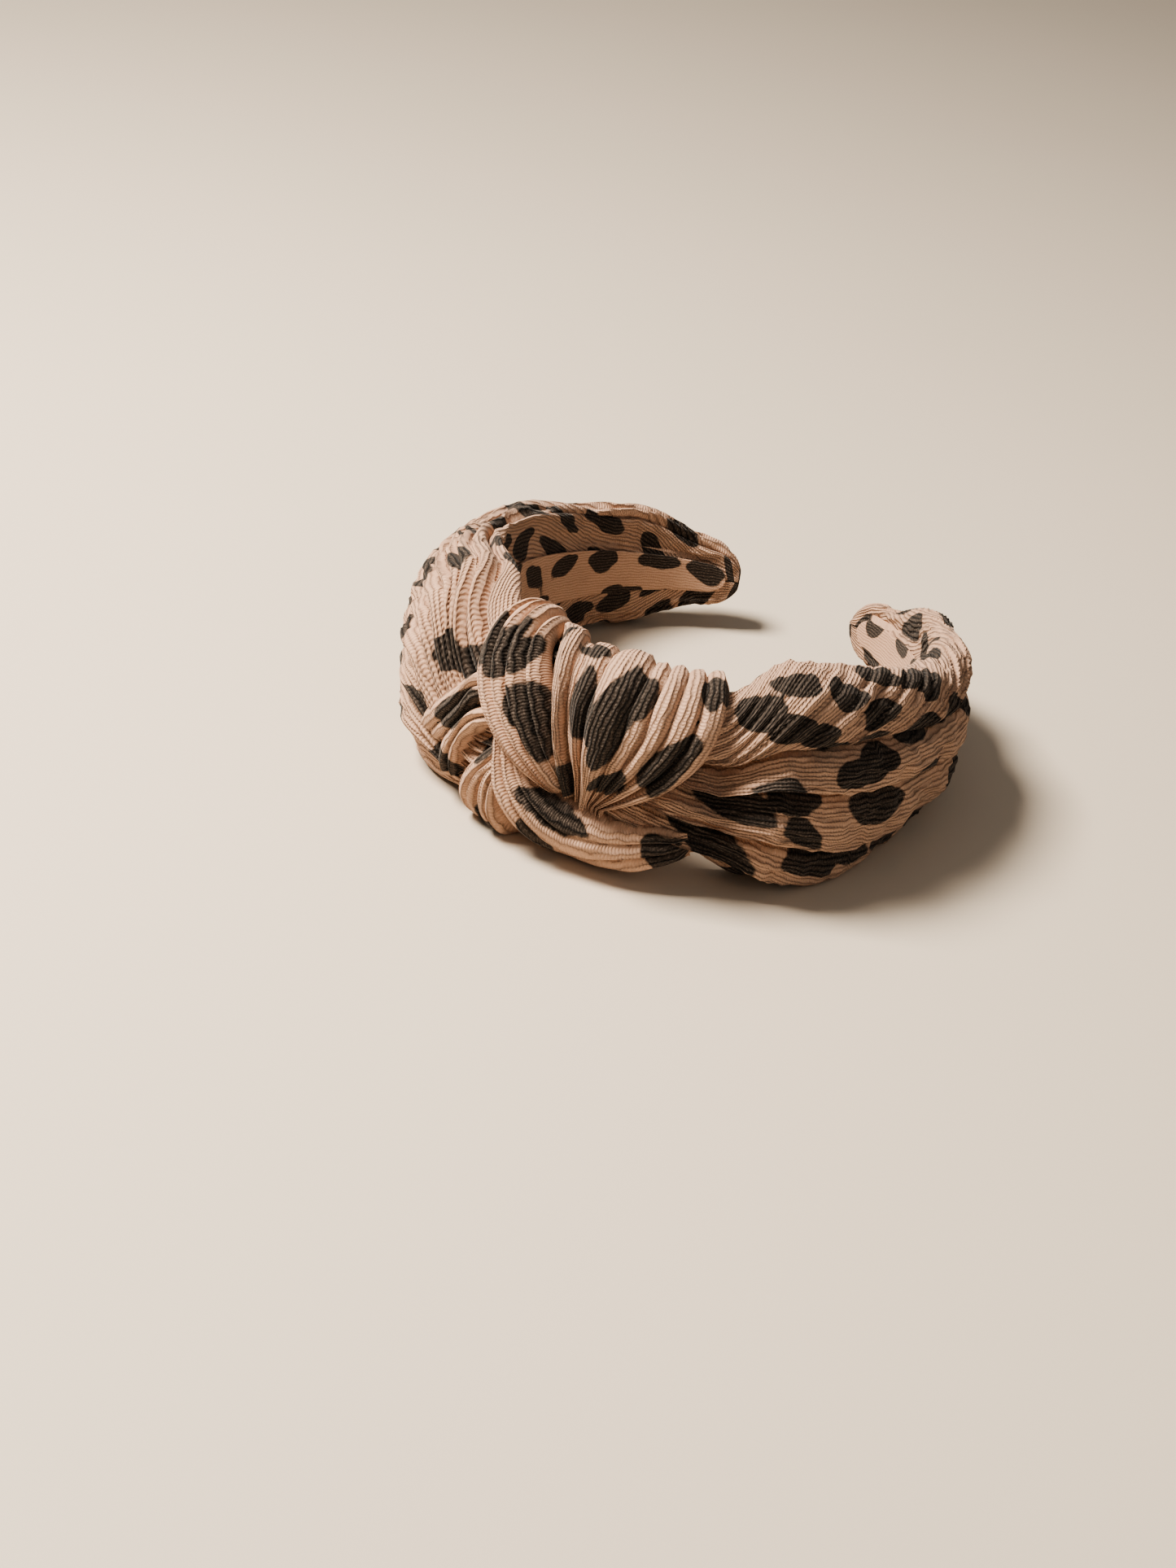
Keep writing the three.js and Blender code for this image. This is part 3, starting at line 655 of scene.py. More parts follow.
def arm_section(side, distance, v, shares):
    """An arm's smooth outline at each row, with its columns drawn together toward the knot.

    Gives z, n and w of every point, and the length round each row."""
    sign = -1 if side == "left" else 1
    near, far = ARM_GATHER[side]
    pinched = [share_at(side, sign * near, w) for w, _ in ARM_CREASES[side]]
    pinched_at = np.interp(v, [0, 0.06, *shares, 0.94, 1], [0, 0.1, *pinched, 0.9, 1])
    q = lerp(pinched_at[None, :], v[None, :], smoothstep(near - 6, far, distance)[:, None])
    outline_z, outline_n = cover_outline(side, sign * distance)
    length = outline_lengths(outline_z, outline_n)
    z = np.array([np.interp(row * l[-1], l, line) for row, l, line in zip(q, length, outline_z)])
    n = np.array([np.interp(row * l[-1], l, line) for row, l, line in zip(q, length, outline_n)])
    total = length[:, -1:]
    w = length[:, MIDDLE_INDEX][:, None] - q * total
    return z, n, w, total


def fine_pleats(slanted, distance, places, seed):
    """The fine pleats that lie side by side within each fold."""
    fine_places = []
    rng = np.random.default_rng(seed + 3)
    for low, high in zip(places[:-1], places[1:]):
        count = max(1, int(round((high - low) * SWELL_GIRTH / PLEAT_PITCH)))
        inner = np.linspace(low, high, count + 1)
        inner[1:-1] += rng.uniform(-0.2, 0.2, count - 1) * (high - low) / count
        fine_places += list(inner[:-1])
    fine_places.append(places[-1])
    bounds = wandering(fine_places, distance, 0.006, seed + 9)
    heights = rng.uniform(0.6, 1.2, len(fine_places) - 1)
    return arches(slanted, np.sort(bounds, axis=1), heights, 0.7)


def arm_folds(side, v, w, distance, shares, folds):
    """How the cloth of an arm stands off its smooth outline.

    Gives every point's height and lean, how firmly it is held, its place across the knit with
    the slant of its pleats, and the slant alone."""
    seed = ARM_SEEDS[side]
    near, far = ARM_GATHER[side]
    places = [0.02, *shares, 0.98]
    gathered = smoothstep(near, far, distance)
    bounds = np.stack([
        lerp(at, at + 0.012 * ripple(distance, np.zeros_like(distance), 40, seed + k), gathered)
        for k, at in enumerate(places)
    ], axis=1)
    vv = np.broadcast_to(v[None, :], w.shape)
    along = np.broadcast_to(distance[:, None], w.shape)
    knot_side = 1 - smoothstep(near + 4, near + 44, along)
    fold, fold_x = in_folds(vv, bounds)
    full = bow(fold_x ** 1.25, 0.58)
    widths = np.diff(places) * SWELL_GIRTH
    deep = np.minimum(0.62 * widths, folds.fold_depth / MM)[fold]
    crest = np.array(ARM_FOLD_HEIGHTS[side])[fold]
    shingle = (fold_x - 0.5) * np.minimum(1, widths[fold] / 14) * folds.shingle / MM
    slant = ARM_SLANT[side] * (along - 40) * (fold == 0)
    slanted = vv + slant / SWELL_GIRTH
    fine = fine_pleats(slanted, distance, places, seed)
    lines = ridges(slanted * SWELL_GIRTH, along, 4.4, 0.6, seed + 21)
    outer = smoothstep(0.05, 0.10, vv) * (1 - smoothstep(0.83, 0.90, vv))
    calm = 1 - 0.45 * smoothstep(90, 150, along)
    tip = 1 - 0.65 * smoothstep(COVER_END - 14, COVER_END, along)
    pleat = folds.pleat_depth / MM
    proud = 0.5 + knot_side * (2.0 if side == "left" else 0.9)
    puff = 0.55 * ripple(along, w, 26, seed + 2) * smoothstep(near, far, along)
    sag_s, sag_w, sag = ARM_SAG[side]
    puff = puff + sag * np.exp(-((along - sag_s) / 22) ** 2 - ((w - sag_w) / 14) ** 2)
    h = crest * proud - (1 - full) * deep * calm + shingle * (0.25 + 0.75 * knot_side)
    keen = np.maximum(0.6 + 0.6 * knot_side, 0.95 * (fold == 0) * (side == "right"))
    keen = keen * (0.25 + 0.75 * smoothstep(0.14, 0.23, vv))
    h = h + (fine - 0.8) * pleat * keen + lines * folds.ridge_height / MM * np.minimum(1, keen) + puff
    h = h * outer * tip + (1 - outer) * 0.25 * ripple(along, w, 9, seed + 4) * tip
    lean = (full - 0.5) * outer * tip * folds.fold_lean / MM * (0.4 + 0.6 * knot_side)
    lean = lean * np.minimum(1, deep / (folds.fold_depth / MM))
    hold = np.maximum(1 - outer, np.clip(1.6 * (1 - full), 0, 1))
    hold = np.maximum(hold, knot_side * (1.0 if side == "left" else 0.4))
    return h, lean, hold, slanted, slant


def arm_shell(side, start, folds):
    """The gathered cover of one arm, from the strand under the knot to the closed tip."""
    sign = -1 if side == "left" else 1
    swell = ARM_GATHER[side][1]
    distance = rounded_rows(start, COVER_END, COVER_TIP_RADIUS, 1.15, 18)
    s = sign * distance
    v = arm_columns()
    shares = [share_at(side, sign * swell, w) for _, w in ARM_CREASES[side]]
    z, n, w, total = arm_section(side, distance, v, shares)
    h, lean, hold, slanted, slant = arm_folds(side, v, w, distance, shares, folds)
    dz, dn = np.gradient(z, axis=1), np.gradient(n, axis=1)
    size = np.maximum(np.hypot(dz, dn), 1e-9)
    tz, tn = dz / size, dn / size
    outer_points = place(s[:, None], z + h * tn + lean * tz, n - h * tz + lean * tn)
    outer_points = settle_cloth(outer_points, hold, folds)
    room_s = np.minimum(distance, HALF_LENGTH + GAP - 0.02) * sign
    room_z, room_n = shell_room(side, room_s)
    room_points = place(room_s[:, None], room_z, room_n)
    points = np.concatenate([outer_points, room_points], axis=1)
    faces = shell_faces(len(s), points.shape[1], len(v))
    girth = np.maximum(total, 60) / np.maximum(total.max(), 60)
    girth = np.where(distance[:, None] < swell, 1.0, girth)
    across = (slanted - 0.5) * KNIT_GIRTH * girth * np.where(slant == 0, 1, 0.75)
    across = np.concatenate([across, np.zeros(room_z.shape)], axis=1)
    cloth_w = np.concatenate([w, np.zeros(room_z.shape)], axis=1)
    cloth_s = np.broadcast_to(s[:, None], cloth_w.shape)
    reach = (-PRINT_REACH, 0) if side == "left" else (0, PRINT_REACH)
    spots = scattered_spots(shaped(COVER_SPOTS), reach, (-78, 78), ARM_SEEDS[side] + 30)
    field = print_field(cloth_s, cloth_w, spots)
    fabric = np.stack([cloth_s, across, field], axis=-1).reshape(-1, 3)
    rows = lay_on_surface(to_row(points.reshape(-1, 3)))
    return rows, faces, fabric, side == "right"


def under_shell(folds):
    """The short stretch of gathered cover under the knot, open at both ends."""
    s = np.linspace(UNDER_FROM, UNDER_TO, 27)
    v = np.linspace(0, 1, 190)
    parts = []
    for at in s:
        side = "left" if at < 0 else "right"
        z, n = cover_outline(side, np.array([at]))
        length = outline_lengths(z, n)[0]
        q = v * length[-1]
        parts.append((np.interp(q, length, z[0]), np.interp(q, length, n[0]), length[MIDDLE_INDEX] - q))
    z, n, w = (np.array([part[k] for part in parts]) for k in range(3))
    dz, dn = np.gradient(z, axis=1), np.gradient(n, axis=1)
    size = np.maximum(np.hypot(dz, dn), 1e-9)
    places = np.linspace(0.03, 0.97, 20)
    bounds = wandering(places, s, 0.006, 77)
    vv = np.broadcast_to(v[None, :], z.shape)
    h = (arches(vv, np.sort(bounds, axis=1), np.ones(19), 0.7) - 1) * folds.pleat_depth / MM * 1.4
    h = h * smoothstep(0.10, 0.17, vv) * (1 - smoothstep(0.83, 0.90, vv))
    z, n = z + h * dn / size, n - h * dz / size
    room = [shell_room("left" if at < 0 else "right", np.array([at])) for at in s]
    room_z = np.concatenate([part[0] for part in room])
    room_n = np.concatenate([part[1] for part in room])
    points = np.concatenate([place(s[:, None], z, n), place(s[:, None], room_z, room_n)], axis=1)
    faces = shell_faces(len(s), points.shape[1], len(v))
    cloth_w = np.concatenate([w, np.zeros(room_z.shape)], axis=1)
    cloth_s = np.broadcast_to(s[:, None], cloth_w.shape)
    spots = scattered_spots(shaped(LOOP_SPOTS), (-30, 30), (-60, 60), 5)
    field = print_field(cloth_s, cloth_w, spots)
    fabric = np.stack([cloth_s, cloth_w, field], axis=-1).reshape(-1, 3)
    return lay_on_surface(to_row(points.reshape(-1, 3))), faces, fabric, True


# ---------- The knot's strands ----------


def strand_mesh(s, w, top, bottom, along, across, spots):
    """A closed strand from grids over its length and width: places, and its two lifts."""
    rows, columns = s.shape
    upper = SURFACE.at(s, w, top)
    lower = SURFACE.at(s, w, bottom)
    points = np.concatenate([upper.reshape(-1, 3), lower.reshape(-1, 3)])
    quads = grid_faces(rows, columns)
    half = rows * columns
    faces = [tuple(q) for q in quads] + [tuple(int(i) + half for i in reversed(q)) for q in quads]
    rims = [
        [j for j in range(columns)],
        [i * columns + columns - 1 for i in range(rows)],
        [(rows - 1) * columns + j for j in range(columns - 1, -1, -1)],
        [i * columns for i in range(rows - 1, -1, -1)],
    ]
    for rim in rims:
        faces += [(b, a, a + half, b + half) for a, b in zip(rim[:-1], rim[1:])]
    field = print_field(s, w, spots)
    fabric = np.stack([along, across, field], axis=-1).reshape(-1, 3)
    return points, faces, np.concatenate([fabric, fabric])


# The fan: its left side, the ends (s, w) of the pit it gathers into, the bend of its left and right
# sides, how far it tucks behind the upper edge, and its creases and folds from left to right.
FAN_LEFT = -15.5
FAN_PIT = ((2.0, -13.5), (12.0, -18.5))
FAN_BEND = (0.55, 2.9)
FAN_TUCK = 5.5
FAN_CREASES = [0, 0.19, 0.25, 0.39, 0.60, 0.69, 0.78, 0.88, 1]
FAN_HEIGHTS = [1.35, 0.1, 0.75, 1.2, 0.6, 0.8, 0.85, 1.1]


def fan_strand():
    """The pleated fan over the crown, from its tuck behind the upper edge down to the pit of the knot."""
    rows, columns = 92, 190
    v = np.linspace(0, 1, rows)[:, None]
    u = np.linspace(0, 1, columns)[None, :]
    top_s = lerp(FAN_LEFT, KNOT_RIGHT, u)
    edge = SURFACE.upper_edge(top_s)
    w = lerp(edge + FAN_TUCK, lerp(FAN_PIT[0][1], FAN_PIT[1][1], u), v)
    down = np.clip((edge - w) / (edge - FAN_PIT[0][1]), 0, 1)
    bend = FAN_BEND[0] * (FAN_BEND[1] / FAN_BEND[0]) ** u
    s = lerp(top_s, lerp(FAN_PIT[0][0], FAN_PIT[1][0], u), np.clip(down, 0, 1) ** bend)
    s = s + 0.5 * ripple(w, s, 22, 3) * np.sin(math.pi * u) * smoothstep(0, 0.3, down)
    arch = np.sin(math.pi * np.clip(u, 0, 1) ** 0.8) ** 0.6
    rise = smoothstep(-0.12, 0.42, down) * (1 - 0.82 * smoothstep(0.6, 1, down))
    body = lerp(2.4, 7.4, arch) * rise + 2.0 * (1 - rise) + 0.5
    over = 1 - smoothstep(edge + 0.5, edge + FAN_TUCK, w)
    body = lerp(0.9, body, over)
    wander = 0.012 * ripple(w, u * 60, 18, 8) * np.sin(math.pi * u)
    bounds = np.broadcast_to(np.array(FAN_CREASES)[None, :], (rows, len(FAN_CREASES)))
    pleats = arches(np.clip(u + wander, 0, 1), bounds, FAN_HEIGHTS, 0.6)
    twist = (1 - smoothstep(0.16, 0.22, u)) * 0.35 * w
    ribs = np.broadcast_to((u + wander) * 48 + twist, s.shape)
    lines = ridges(ribs, np.broadcast_to(w, s.shape), 3.6, 0.5, 17)
    depth = 4.2 * over * (0.6 + 0.5 * smoothstep(0.1, 0.7, down) - 0.35 * smoothstep(0.8, 1, down))
    top = body + (pleats - 0.65) * depth + lines * 0.75 * over
    end = np.minimum(1, (1 - v) / 0.03) ** 0.5
    side_round = np.minimum(1, np.minimum(u, 1 - u) / 0.035) ** 0.5
    bottom = np.full(s.shape, 0.5)
    top = bottom + (np.maximum(top, 0.9) - bottom) * np.clip(side_round, 0.08, 1) * np.clip(end, 0.1, 1)
    spots = shaped(FAN_SPOTS)
    along = np.broadcast_to(w, s.shape)
    across = np.broadcast_to(u * 50, s.shape)
    return strand_mesh(s, w, top, bottom, along, across, spots)


def strand_along(route, columns, step, heights, creases, seed, depth, spots, shift):
    """A pleated strand along a route of (s, w, half width, lift of the underside, rise)."""
    route = np.array(route, float)
    reach = np.concatenate([[0], np.cumsum(np.hypot(*np.diff(route[:, :2], axis=0).T))])
    rows = int(reach[-1] / step)
    at = np.linspace(0, reach[-1], rows)
    smooth = np.stack([catmull(reach, route[:, k], at) for k in range(5)], axis=1)
    ds, dw = np.gradient(smooth[:, 0]), np.gradient(smooth[:, 1])
    size = np.hypot(ds, dw)
    side_s, side_w = -dw / size, ds / size
    x = np.linspace(-1, 1, columns)[None, :]
    s = smooth[:, 0:1] + side_s[:, None] * x * smooth[:, 2:3]
    w = smooth[:, 1:2] + side_w[:, None] * x * smooth[:, 2:3]
    u = (x + 1) / 2
    width = 2 * float(smooth[:, 2].mean())
    wander = 0.02 * ripple(at[:, None], u * 20, 24, seed) * np.sin(math.pi * u)
    bounds = np.broadcast_to(np.array(creases)[None, :], (rows, len(creases)))
    pleats = arches(np.clip(u + wander, 0, 1), bounds, heights, 0.6)
    ribs = np.broadcast_to((u + wander) * width, s.shape)
    lines = ridges(ribs, np.broadcast_to(at[:, None], s.shape), 3.2, 0.5, seed + 2)
    crown = np.maximum(0, 1 - np.abs(x) ** 2.4) ** 0.55
    ends = np.minimum(1, np.minimum(at, reach[-1] - at) / 2.5)[:, None] ** 0.5
    bottom = smooth[:, 3:4] * np.ones_like(x)
    rise = smooth[:, 4:5]
    full = smoothstep(0.5, 4, rise)
    top = bottom + crown * (rise + (pleats - 0.6) * depth * full + lines * 0.8 * full) * np.clip(ends, 0.2, 1)
    top = np.maximum(top, bottom + 0.12)
    along = np.broadcast_to(at[:, None], s.shape)
    across = np.broadcast_to(u * width + shift, s.shape)
    return strand_mesh(s, w, top, bottom, along, across, spots)


def catmull(knots, values, at):
    """Smooth interpolation through values at knots."""
    slopes = np.gradient(values, knots)
    k = np.clip(np.searchsorted(knots, at, side="right") - 1, 0, len(knots) - 2)
    h = knots[k + 1] - knots[k]
    t = (at - knots[k]) / h
    a, b = values[k], values[k + 1]
    ma, mb = slopes[k] * h, slopes[k + 1] * h
    return (
        (2 * t ** 3 - 3 * t ** 2 + 1) * a + (t ** 3 - 2 * t ** 2 + t) * ma
        + (-2 * t ** 3 + 3 * t ** 2) * b + (t ** 3 - t ** 2) * mb
    )


# Routes as (s, w or a place on the upper edge, half width, lift of the underside, rise).
HEAD_ROUTE = [
    (-21.5, "tuck", 7.6, 0.6, 1.6), (-21.5, "edge", 8.4, 0.6, 4.6), (-20, 20, 9.4, 0.6, 6.8),
    (-17, 12.5, 9.8, 0.6, 7.8), (-12.5, 4.5, 9.2, 0.8, 8.0), (-7, -4, 7.2, 1.0, 6.8),
    (-2, -10, 4.6, 1.0, 4.4), (2, -14, 2.6, 0.8, 2.0),
]
LOOP_ROUTE = [
    (-17, 0, 3.0, 0.6, 2.0), (-14.5, -7, 4.6, 0.6, 5.0), (-11.5, -14.5, 7.0, 0.7, 7.6),
    (-6, -20.5, 9.0, 0.8, 9.2), (2, -24, 9.8, 0.8, 9.6), (11, -24.5, 9.4, 0.8, 8.8),
    (19, -23, 8.2, 0.7, 6.8), (26, -20.5, 6.4, 0.6, 4.4), (33, -18.5, 4.4, 0.6, 1.8),
]
# The narrow rolls that come out from behind the strand on its left.
ROLL_ROUTES = [
    [(-19, 11, 3.2, 0.6, 2.0), (-25, 8, 4.2, 0.6, 5.0), (-30.5, 0, 4.4, 0.6, 5.2),
     (-36, -9, 4.4, 0.6, 4.2), (-41, -17, 3.8, 0.6, 1.6)],
    [(-15, 3, 2.6, 0.6, 2.0), (-21, 1, 3.2, 0.6, 4.6), (-27, -5, 3.4, 0.6, 5.2), (-31, -12, 3.6, 0.6, 5.2),
     (-34, -20, 3.8, 0.6, 4.4), (-38, -31, 3.4, 0.6, 1.6)],
    [(-12.5, -2, 2.4, 0.6, 2.0), (-17, -9.5, 3.2, 0.7, 5.6), (-21.5, -16.5, 3.6, 0.8, 7.0),
     (-24.5, -25, 4.0, 0.9, 7.6), (-24.5, -34, 3.8, 0.8, 6.4), (-22, -42, 3.0, 0.6, 1.6)],
    [(-11, -5, 2.4, 0.6, 2.0), (-14.8, -12, 3.0, 0.7, 6.4), (-17, -20, 3.6, 0.8, 8.4),
     (-17, -29, 4.2, 0.9, 9.4), (-12, -37, 4.4, 0.8, 7.4), (-6, -42, 3.4, 0.6, 1.8)],
]


def route_on_band(route):
    rows = []
    for s, w, half, lift, rise in route:
        edge = float(SURFACE.upper_edge(s))
        w = {"tuck": edge + FAN_TUCK, "edge": edge}.get(w, w)
        rows.append((s, w, half, lift, rise))
    return rows


def join_parts(parts):
    """Several (points, faces, fabric) as one."""
    points, faces, fabric, count = [], [], [], 0
    for part_points, part_faces, part_fabric in parts:
        points.append(part_points)
        faces += [tuple(int(i) + count for i in face) for face in part_faces]
        fabric.append(part_fabric)
        count += len(part_points)
    return np.concatenate(points), faces, np.concatenate(fabric)


# ---------- Materials ----------


def feed(tree, socket, value):
    """Links a source socket into a socket, or sets the socket's value."""
    if isinstance(value, bpy.types.NodeSocket):
        tree.links.new(value, socket)
    else:
        socket.default_value = value


def add(tree, kind, inputs=(), **settings):
    """Adds a node; inputs is a list of (socket, value or source socket)."""
    node = tree.nodes.new(kind)
    for name, value in settings.items():
        setattr(node, name, value)
    for socket, value in inputs:
        feed(tree, node.inputs[socket], value)
    return node


def noise(tree, at, scale, detail, roughness=0.5):
    inputs = [("Vector", at), ("Scale", scale), ("Detail", detail), ("Roughness", roughness)]
    return add(tree, "ShaderNodeTexNoise", inputs).outputs[0]


def maths(tree, operation, *values, clamp=False):
    node = add(tree, "ShaderNodeMath", list(enumerate(values)), operation=operation, use_clamp=clamp)
    return node.outputs[0]


def flat_spot(tree, along, across):
    return add(tree, "ShaderNodeCombineXYZ", [(0, along), (1, across)]).outputs[0]


def mix_colour(tree, factor, first, second, blend="MIX"):
    node = add(tree, "ShaderNodeMix", data_type="RGBA", blend_type=blend)
    for index, value in ((0, factor), (6, first), (7, second)):
        feed(tree, node.inputs[index], value)
    return node.outputs[2]


def new_group(name, inputs, outputs):
    tree = bpy.data.node_groups.new(name, "ShaderNodeTree")
    for label, kind, default in inputs:
        socket = tree.interface.new_socket(label, in_out="INPUT", socket_type=kind)
        socket.default_value = default
    for label, kind in outputs:
        tree.interface.new_socket(label, in_out="OUTPUT", socket_type=kind)
    return tree, tree.nodes.new("NodeGroupInput"), tree.nodes.new("NodeGroupOutput")


def use_group(tree, group, inputs):
    node = tree.nodes.new("ShaderNodeGroup")
    node.node_tree = group
    for name, value in inputs:
        feed(tree, node.inputs[name], value)
    return node


def knit_group():
    """Wales and courses of a knit, with a fibre grain, as a height and a groove mask; the knit materials use
    the mask for painted shade in the grooves and painted highlight on the crests.
    """
    tree, given, result = new_group(
        "Knit Stitches",
        [
            ("Along", "NodeSocketFloat", 0), ("Across", "NodeSocketFloat", 0),
            ("Wale Pitch", "NodeSocketFloat", 1.0), ("Course Pitch", "NodeSocketFloat", 0.8),
            ("Rib", "NodeSocketFloat", 1.0),
        ],
        [("Height", "NodeSocketFloat"), ("Groove", "NodeSocketFloat"), ("Grain", "NodeSocketFloat")],
    )
    along, across = given.outputs["Along"], given.outputs["Across"]
    spot = flat_spot(tree, along, across)
    drift = noise(tree, spot, 0.25, 2.0)
    shifted = maths(tree, "MULTIPLY_ADD", drift, 1.6, across)
    wale = maths(tree, "MULTIPLY", maths(tree, "DIVIDE", shifted, given.outputs["Wale Pitch"]), math.pi)
    rib = maths(tree, "ABSOLUTE", maths(tree, "SINE", wale))
    rib = maths(tree, "POWER", rib, 0.7)
    turn = maths(tree, "MULTIPLY", maths(tree, "DIVIDE", along, given.outputs["Course Pitch"]), 2 * math.pi)
    slant = maths(tree, "MULTIPLY", maths(tree, "ABSOLUTE", maths(tree, "SINE", wale)), 2.4)
    course = maths(tree, "SINE", maths(tree, "ADD", turn, slant))
    grain = noise(tree, spot, 2.2, 4.0, 0.7)
    height = maths(tree, "MULTIPLY", rib, given.outputs["Rib"])
    height = maths(tree, "MULTIPLY_ADD", course, 0.16, height)
    height = maths(tree, "MULTIPLY_ADD", grain, 0.55, height)
    tree.links.new(height, result.inputs["Height"])
    groove = maths(tree, "SUBTRACT", 1.0, rib, clamp=True)
    tree.links.new(groove, result.inputs["Groove"])
    tree.links.new(grain, result.inputs["Grain"])
    return tree


def print_group():
    """The print's spots with crisp uneven edges, and the heather of light fibres in them."""
    tree, given, result = new_group(
        "Animal Print",
        [
            ("Along", "NodeSocketFloat", 0), ("Across", "NodeSocketFloat", 0),
            ("Inside", "NodeSocketFloat", 0), ("Edge", "NodeSocketFloat", 0.35),
            ("Unevenness", "NodeSocketFloat", 0.9),
        ],
        [("Spot", "NodeSocketFloat"), ("Heather", "NodeSocketFloat")],
    )
    along, across = given.outputs["Along"], given.outputs["Across"]
    spot = flat_spot(tree, along, across)
    coarse = noise(tree, spot, 0.28, 1.0)
    fine = noise(tree, spot, 1.6, 3.0)
    push = maths(tree, "SUBTRACT", maths(tree, "MULTIPLY_ADD", fine, 0.5, coarse), 0.75)
    inside = maths(tree, "MULTIPLY_ADD", push, given.outputs["Unevenness"], given.outputs["Inside"])
    mask = maths(tree, "ADD", maths(tree, "DIVIDE", inside, given.outputs["Edge"]), 0.5, clamp=True)
    tree.links.new(mask, result.inputs["Spot"])
    stretched = flat_spot(tree, maths(tree, "MULTIPLY", along, 0.45), across)
    streaks = noise(tree, stretched, 2.8, 5.0, 0.75)
    heather = maths(tree, "MULTIPLY", maths(tree, "SUBTRACT", streaks, 0.48), 4.5, clamp=True)
    tree.links.new(heather, result.inputs["Heather"])
    return tree


def principled(material):
    material.use_nodes = True
    tree = material.node_tree
    return tree, tree.nodes["Principled BSDF"]


def knit_material(name, groups, look, wale, rib, bump):
    """Printed knit: base and spot colours, stitches, painted shade in the grooves, painted highlight on the
    spots' rib crests, soft colour drift and a matt nap.
    """
    material = bpy.data.materials.new(name)
    tree, shader = principled(material)
    cloth = add(tree, "ShaderNodeAttribute", attribute_name="fabric")
    parts = add(tree, "ShaderNodeSeparateXYZ", [(0, cloth.outputs["Vector"])])
    along, across, inside = parts.outputs
    stitches = use_group(tree, groups[0], [
        ("Along", along), ("Across", across), ("Wale Pitch", wale), ("Course Pitch", look.course_pitch / MM),
        ("Rib", rib),
    ])
    marks = use_group(tree, groups[1], [("Along", along), ("Across", across), ("Inside", inside)])
    spot = flat_spot(tree, along, across)
    drift = noise(tree, spot, 0.09, 3.0)
    ground = mix_colour(tree, drift, (*look.ground_shade, 1), (*look.ground_colour, 1))
    groove = stitches.outputs["Groove"]
    # Painted shade: the ground is darkened toward the groove colour down between the wales.
    ground = mix_colour(tree, maths(tree, "MULTIPLY", groove, 0.62), ground, (*look.groove_shade_colour, 1))
    light = maths(tree, "MULTIPLY", maths(tree, "SUBTRACT", stitches.outputs["Grain"], 0.52), 1.4, clamp=True)
    ground = mix_colour(tree, light, ground, (*look.fibre_colour, 1))
    # Painted highlight: the rib crests in the spots are lightened toward the heather colour, more where the
    # print's real heather streaks lie.
    crest = maths(tree, "SUBTRACT", 1.0, groove, clamp=True)
    fibres = maths(tree, "MULTIPLY", crest, maths(tree, "MULTIPLY_ADD", marks.outputs["Heather"], 0.8, 0.2))
    dark = mix_colour(tree, fibres, (*look.spot_colour, 1), (*look.heather_and_crest_colour, 1))
    # Painted shade: the spots darken to near black down in the grooves between the wales.
    dark = mix_colour(tree, maths(tree, "MULTIPLY", groove, 0.6), dark, (0.004, 0.0035, 0.003, 1))
    tree.links.new(mix_colour(tree, marks.outputs["Spot"], ground, dark), shader.inputs["Base Color"])
    rough = maths(tree, "MULTIPLY_ADD", stitches.outputs["Grain"], 0.12, 0.84)
    tree.links.new(rough, shader.inputs["Roughness"])
    relief = add(tree, "ShaderNodeBump", [
        ("Strength", 1.0), ("Distance", bump * MM), ("Height", stitches.outputs["Height"]),
    ])
    tree.links.new(relief.outputs[0], shader.inputs["Normal"])
    shader.inputs["Specular IOR Level"].default_value = 0.22
    shader.inputs["Sheen Weight"].default_value = 0.12
    shader.inputs["Sheen Roughness"].default_value = 0.45
    return material


def foam_material():
    material = bpy.data.materials.new("open_cell_foam")
    tree, shader = principled(material)
    at = add(tree, "ShaderNodeTexCoord").outputs["Object"]
    cells = add(tree, "ShaderNodeTexVoronoi", [("Vector", at), ("Scale", 1100.0)]).outputs["Distance"]
    age = noise(tree, at, 40.0, 4.0)
    colour = mix_colour(tree, age, (0.78, 0.74, 0.62, 1), (0.86, 0.83, 0.75, 1))
    colour = mix_colour(tree, maths(tree, "MULTIPLY", cells, 0.5), colour, (0.5, 0.46, 0.37, 1))
    tree.links.new(colour, shader.inputs["Base Color"])
    tree.links.new(maths(tree, "MULTIPLY_ADD", cells, 0.08, 0.9), shader.inputs["Roughness"])
    relief = add(tree, "ShaderNodeBump", [("Strength", 0.7), ("Distance", 0.0004), ("Height", cells)])
    tree.links.new(relief.outputs[0], shader.inputs["Normal"])
    return material


def plastic_material():
    material = bpy.data.materials.new("satin_plastic")
    tree, shader = principled(material)
    at = add(tree, "ShaderNodeTexCoord").outputs["Object"]
    grain = noise(tree, at, 900.0, 3.0)
    scuffs = noise(tree, at, 60.0, 5.0)
    colour = mix_colour(tree, scuffs, (0.02, 0.018, 0.016, 1), (0.05, 0.045, 0.04, 1))
    tree.links.new(colour, shader.inputs["Base Color"])
    tree.links.new(maths(tree, "MULTIPLY_ADD", scuffs, 0.25, 0.35), shader.inputs["Roughness"])
    relief = add(tree, "ShaderNodeBump", [("Strength", 0.2), ("Distance", 0.0001), ("Height", grain)])
    tree.links.new(relief.outputs[0], shader.inputs["Normal"])
    return material


def table_material(colour):
    material = bpy.data.materials.new("pale_table")
    tree, shader = principled(material)
    at = add(tree, "ShaderNodeTexCoord").outputs["Object"]
    drift = noise(tree, at, 3.0, 4.0)
    darker = tuple(0.94 * value for value in colour)
    tree.links.new(mix_colour(tree, drift, (*darker, 1), (*colour, 1)), shader.inputs["Base Color"])
    shader.inputs["Roughness"].default_value = 0.62
    shader.inputs["Specular IOR Level"].default_value = 0.3
    return material


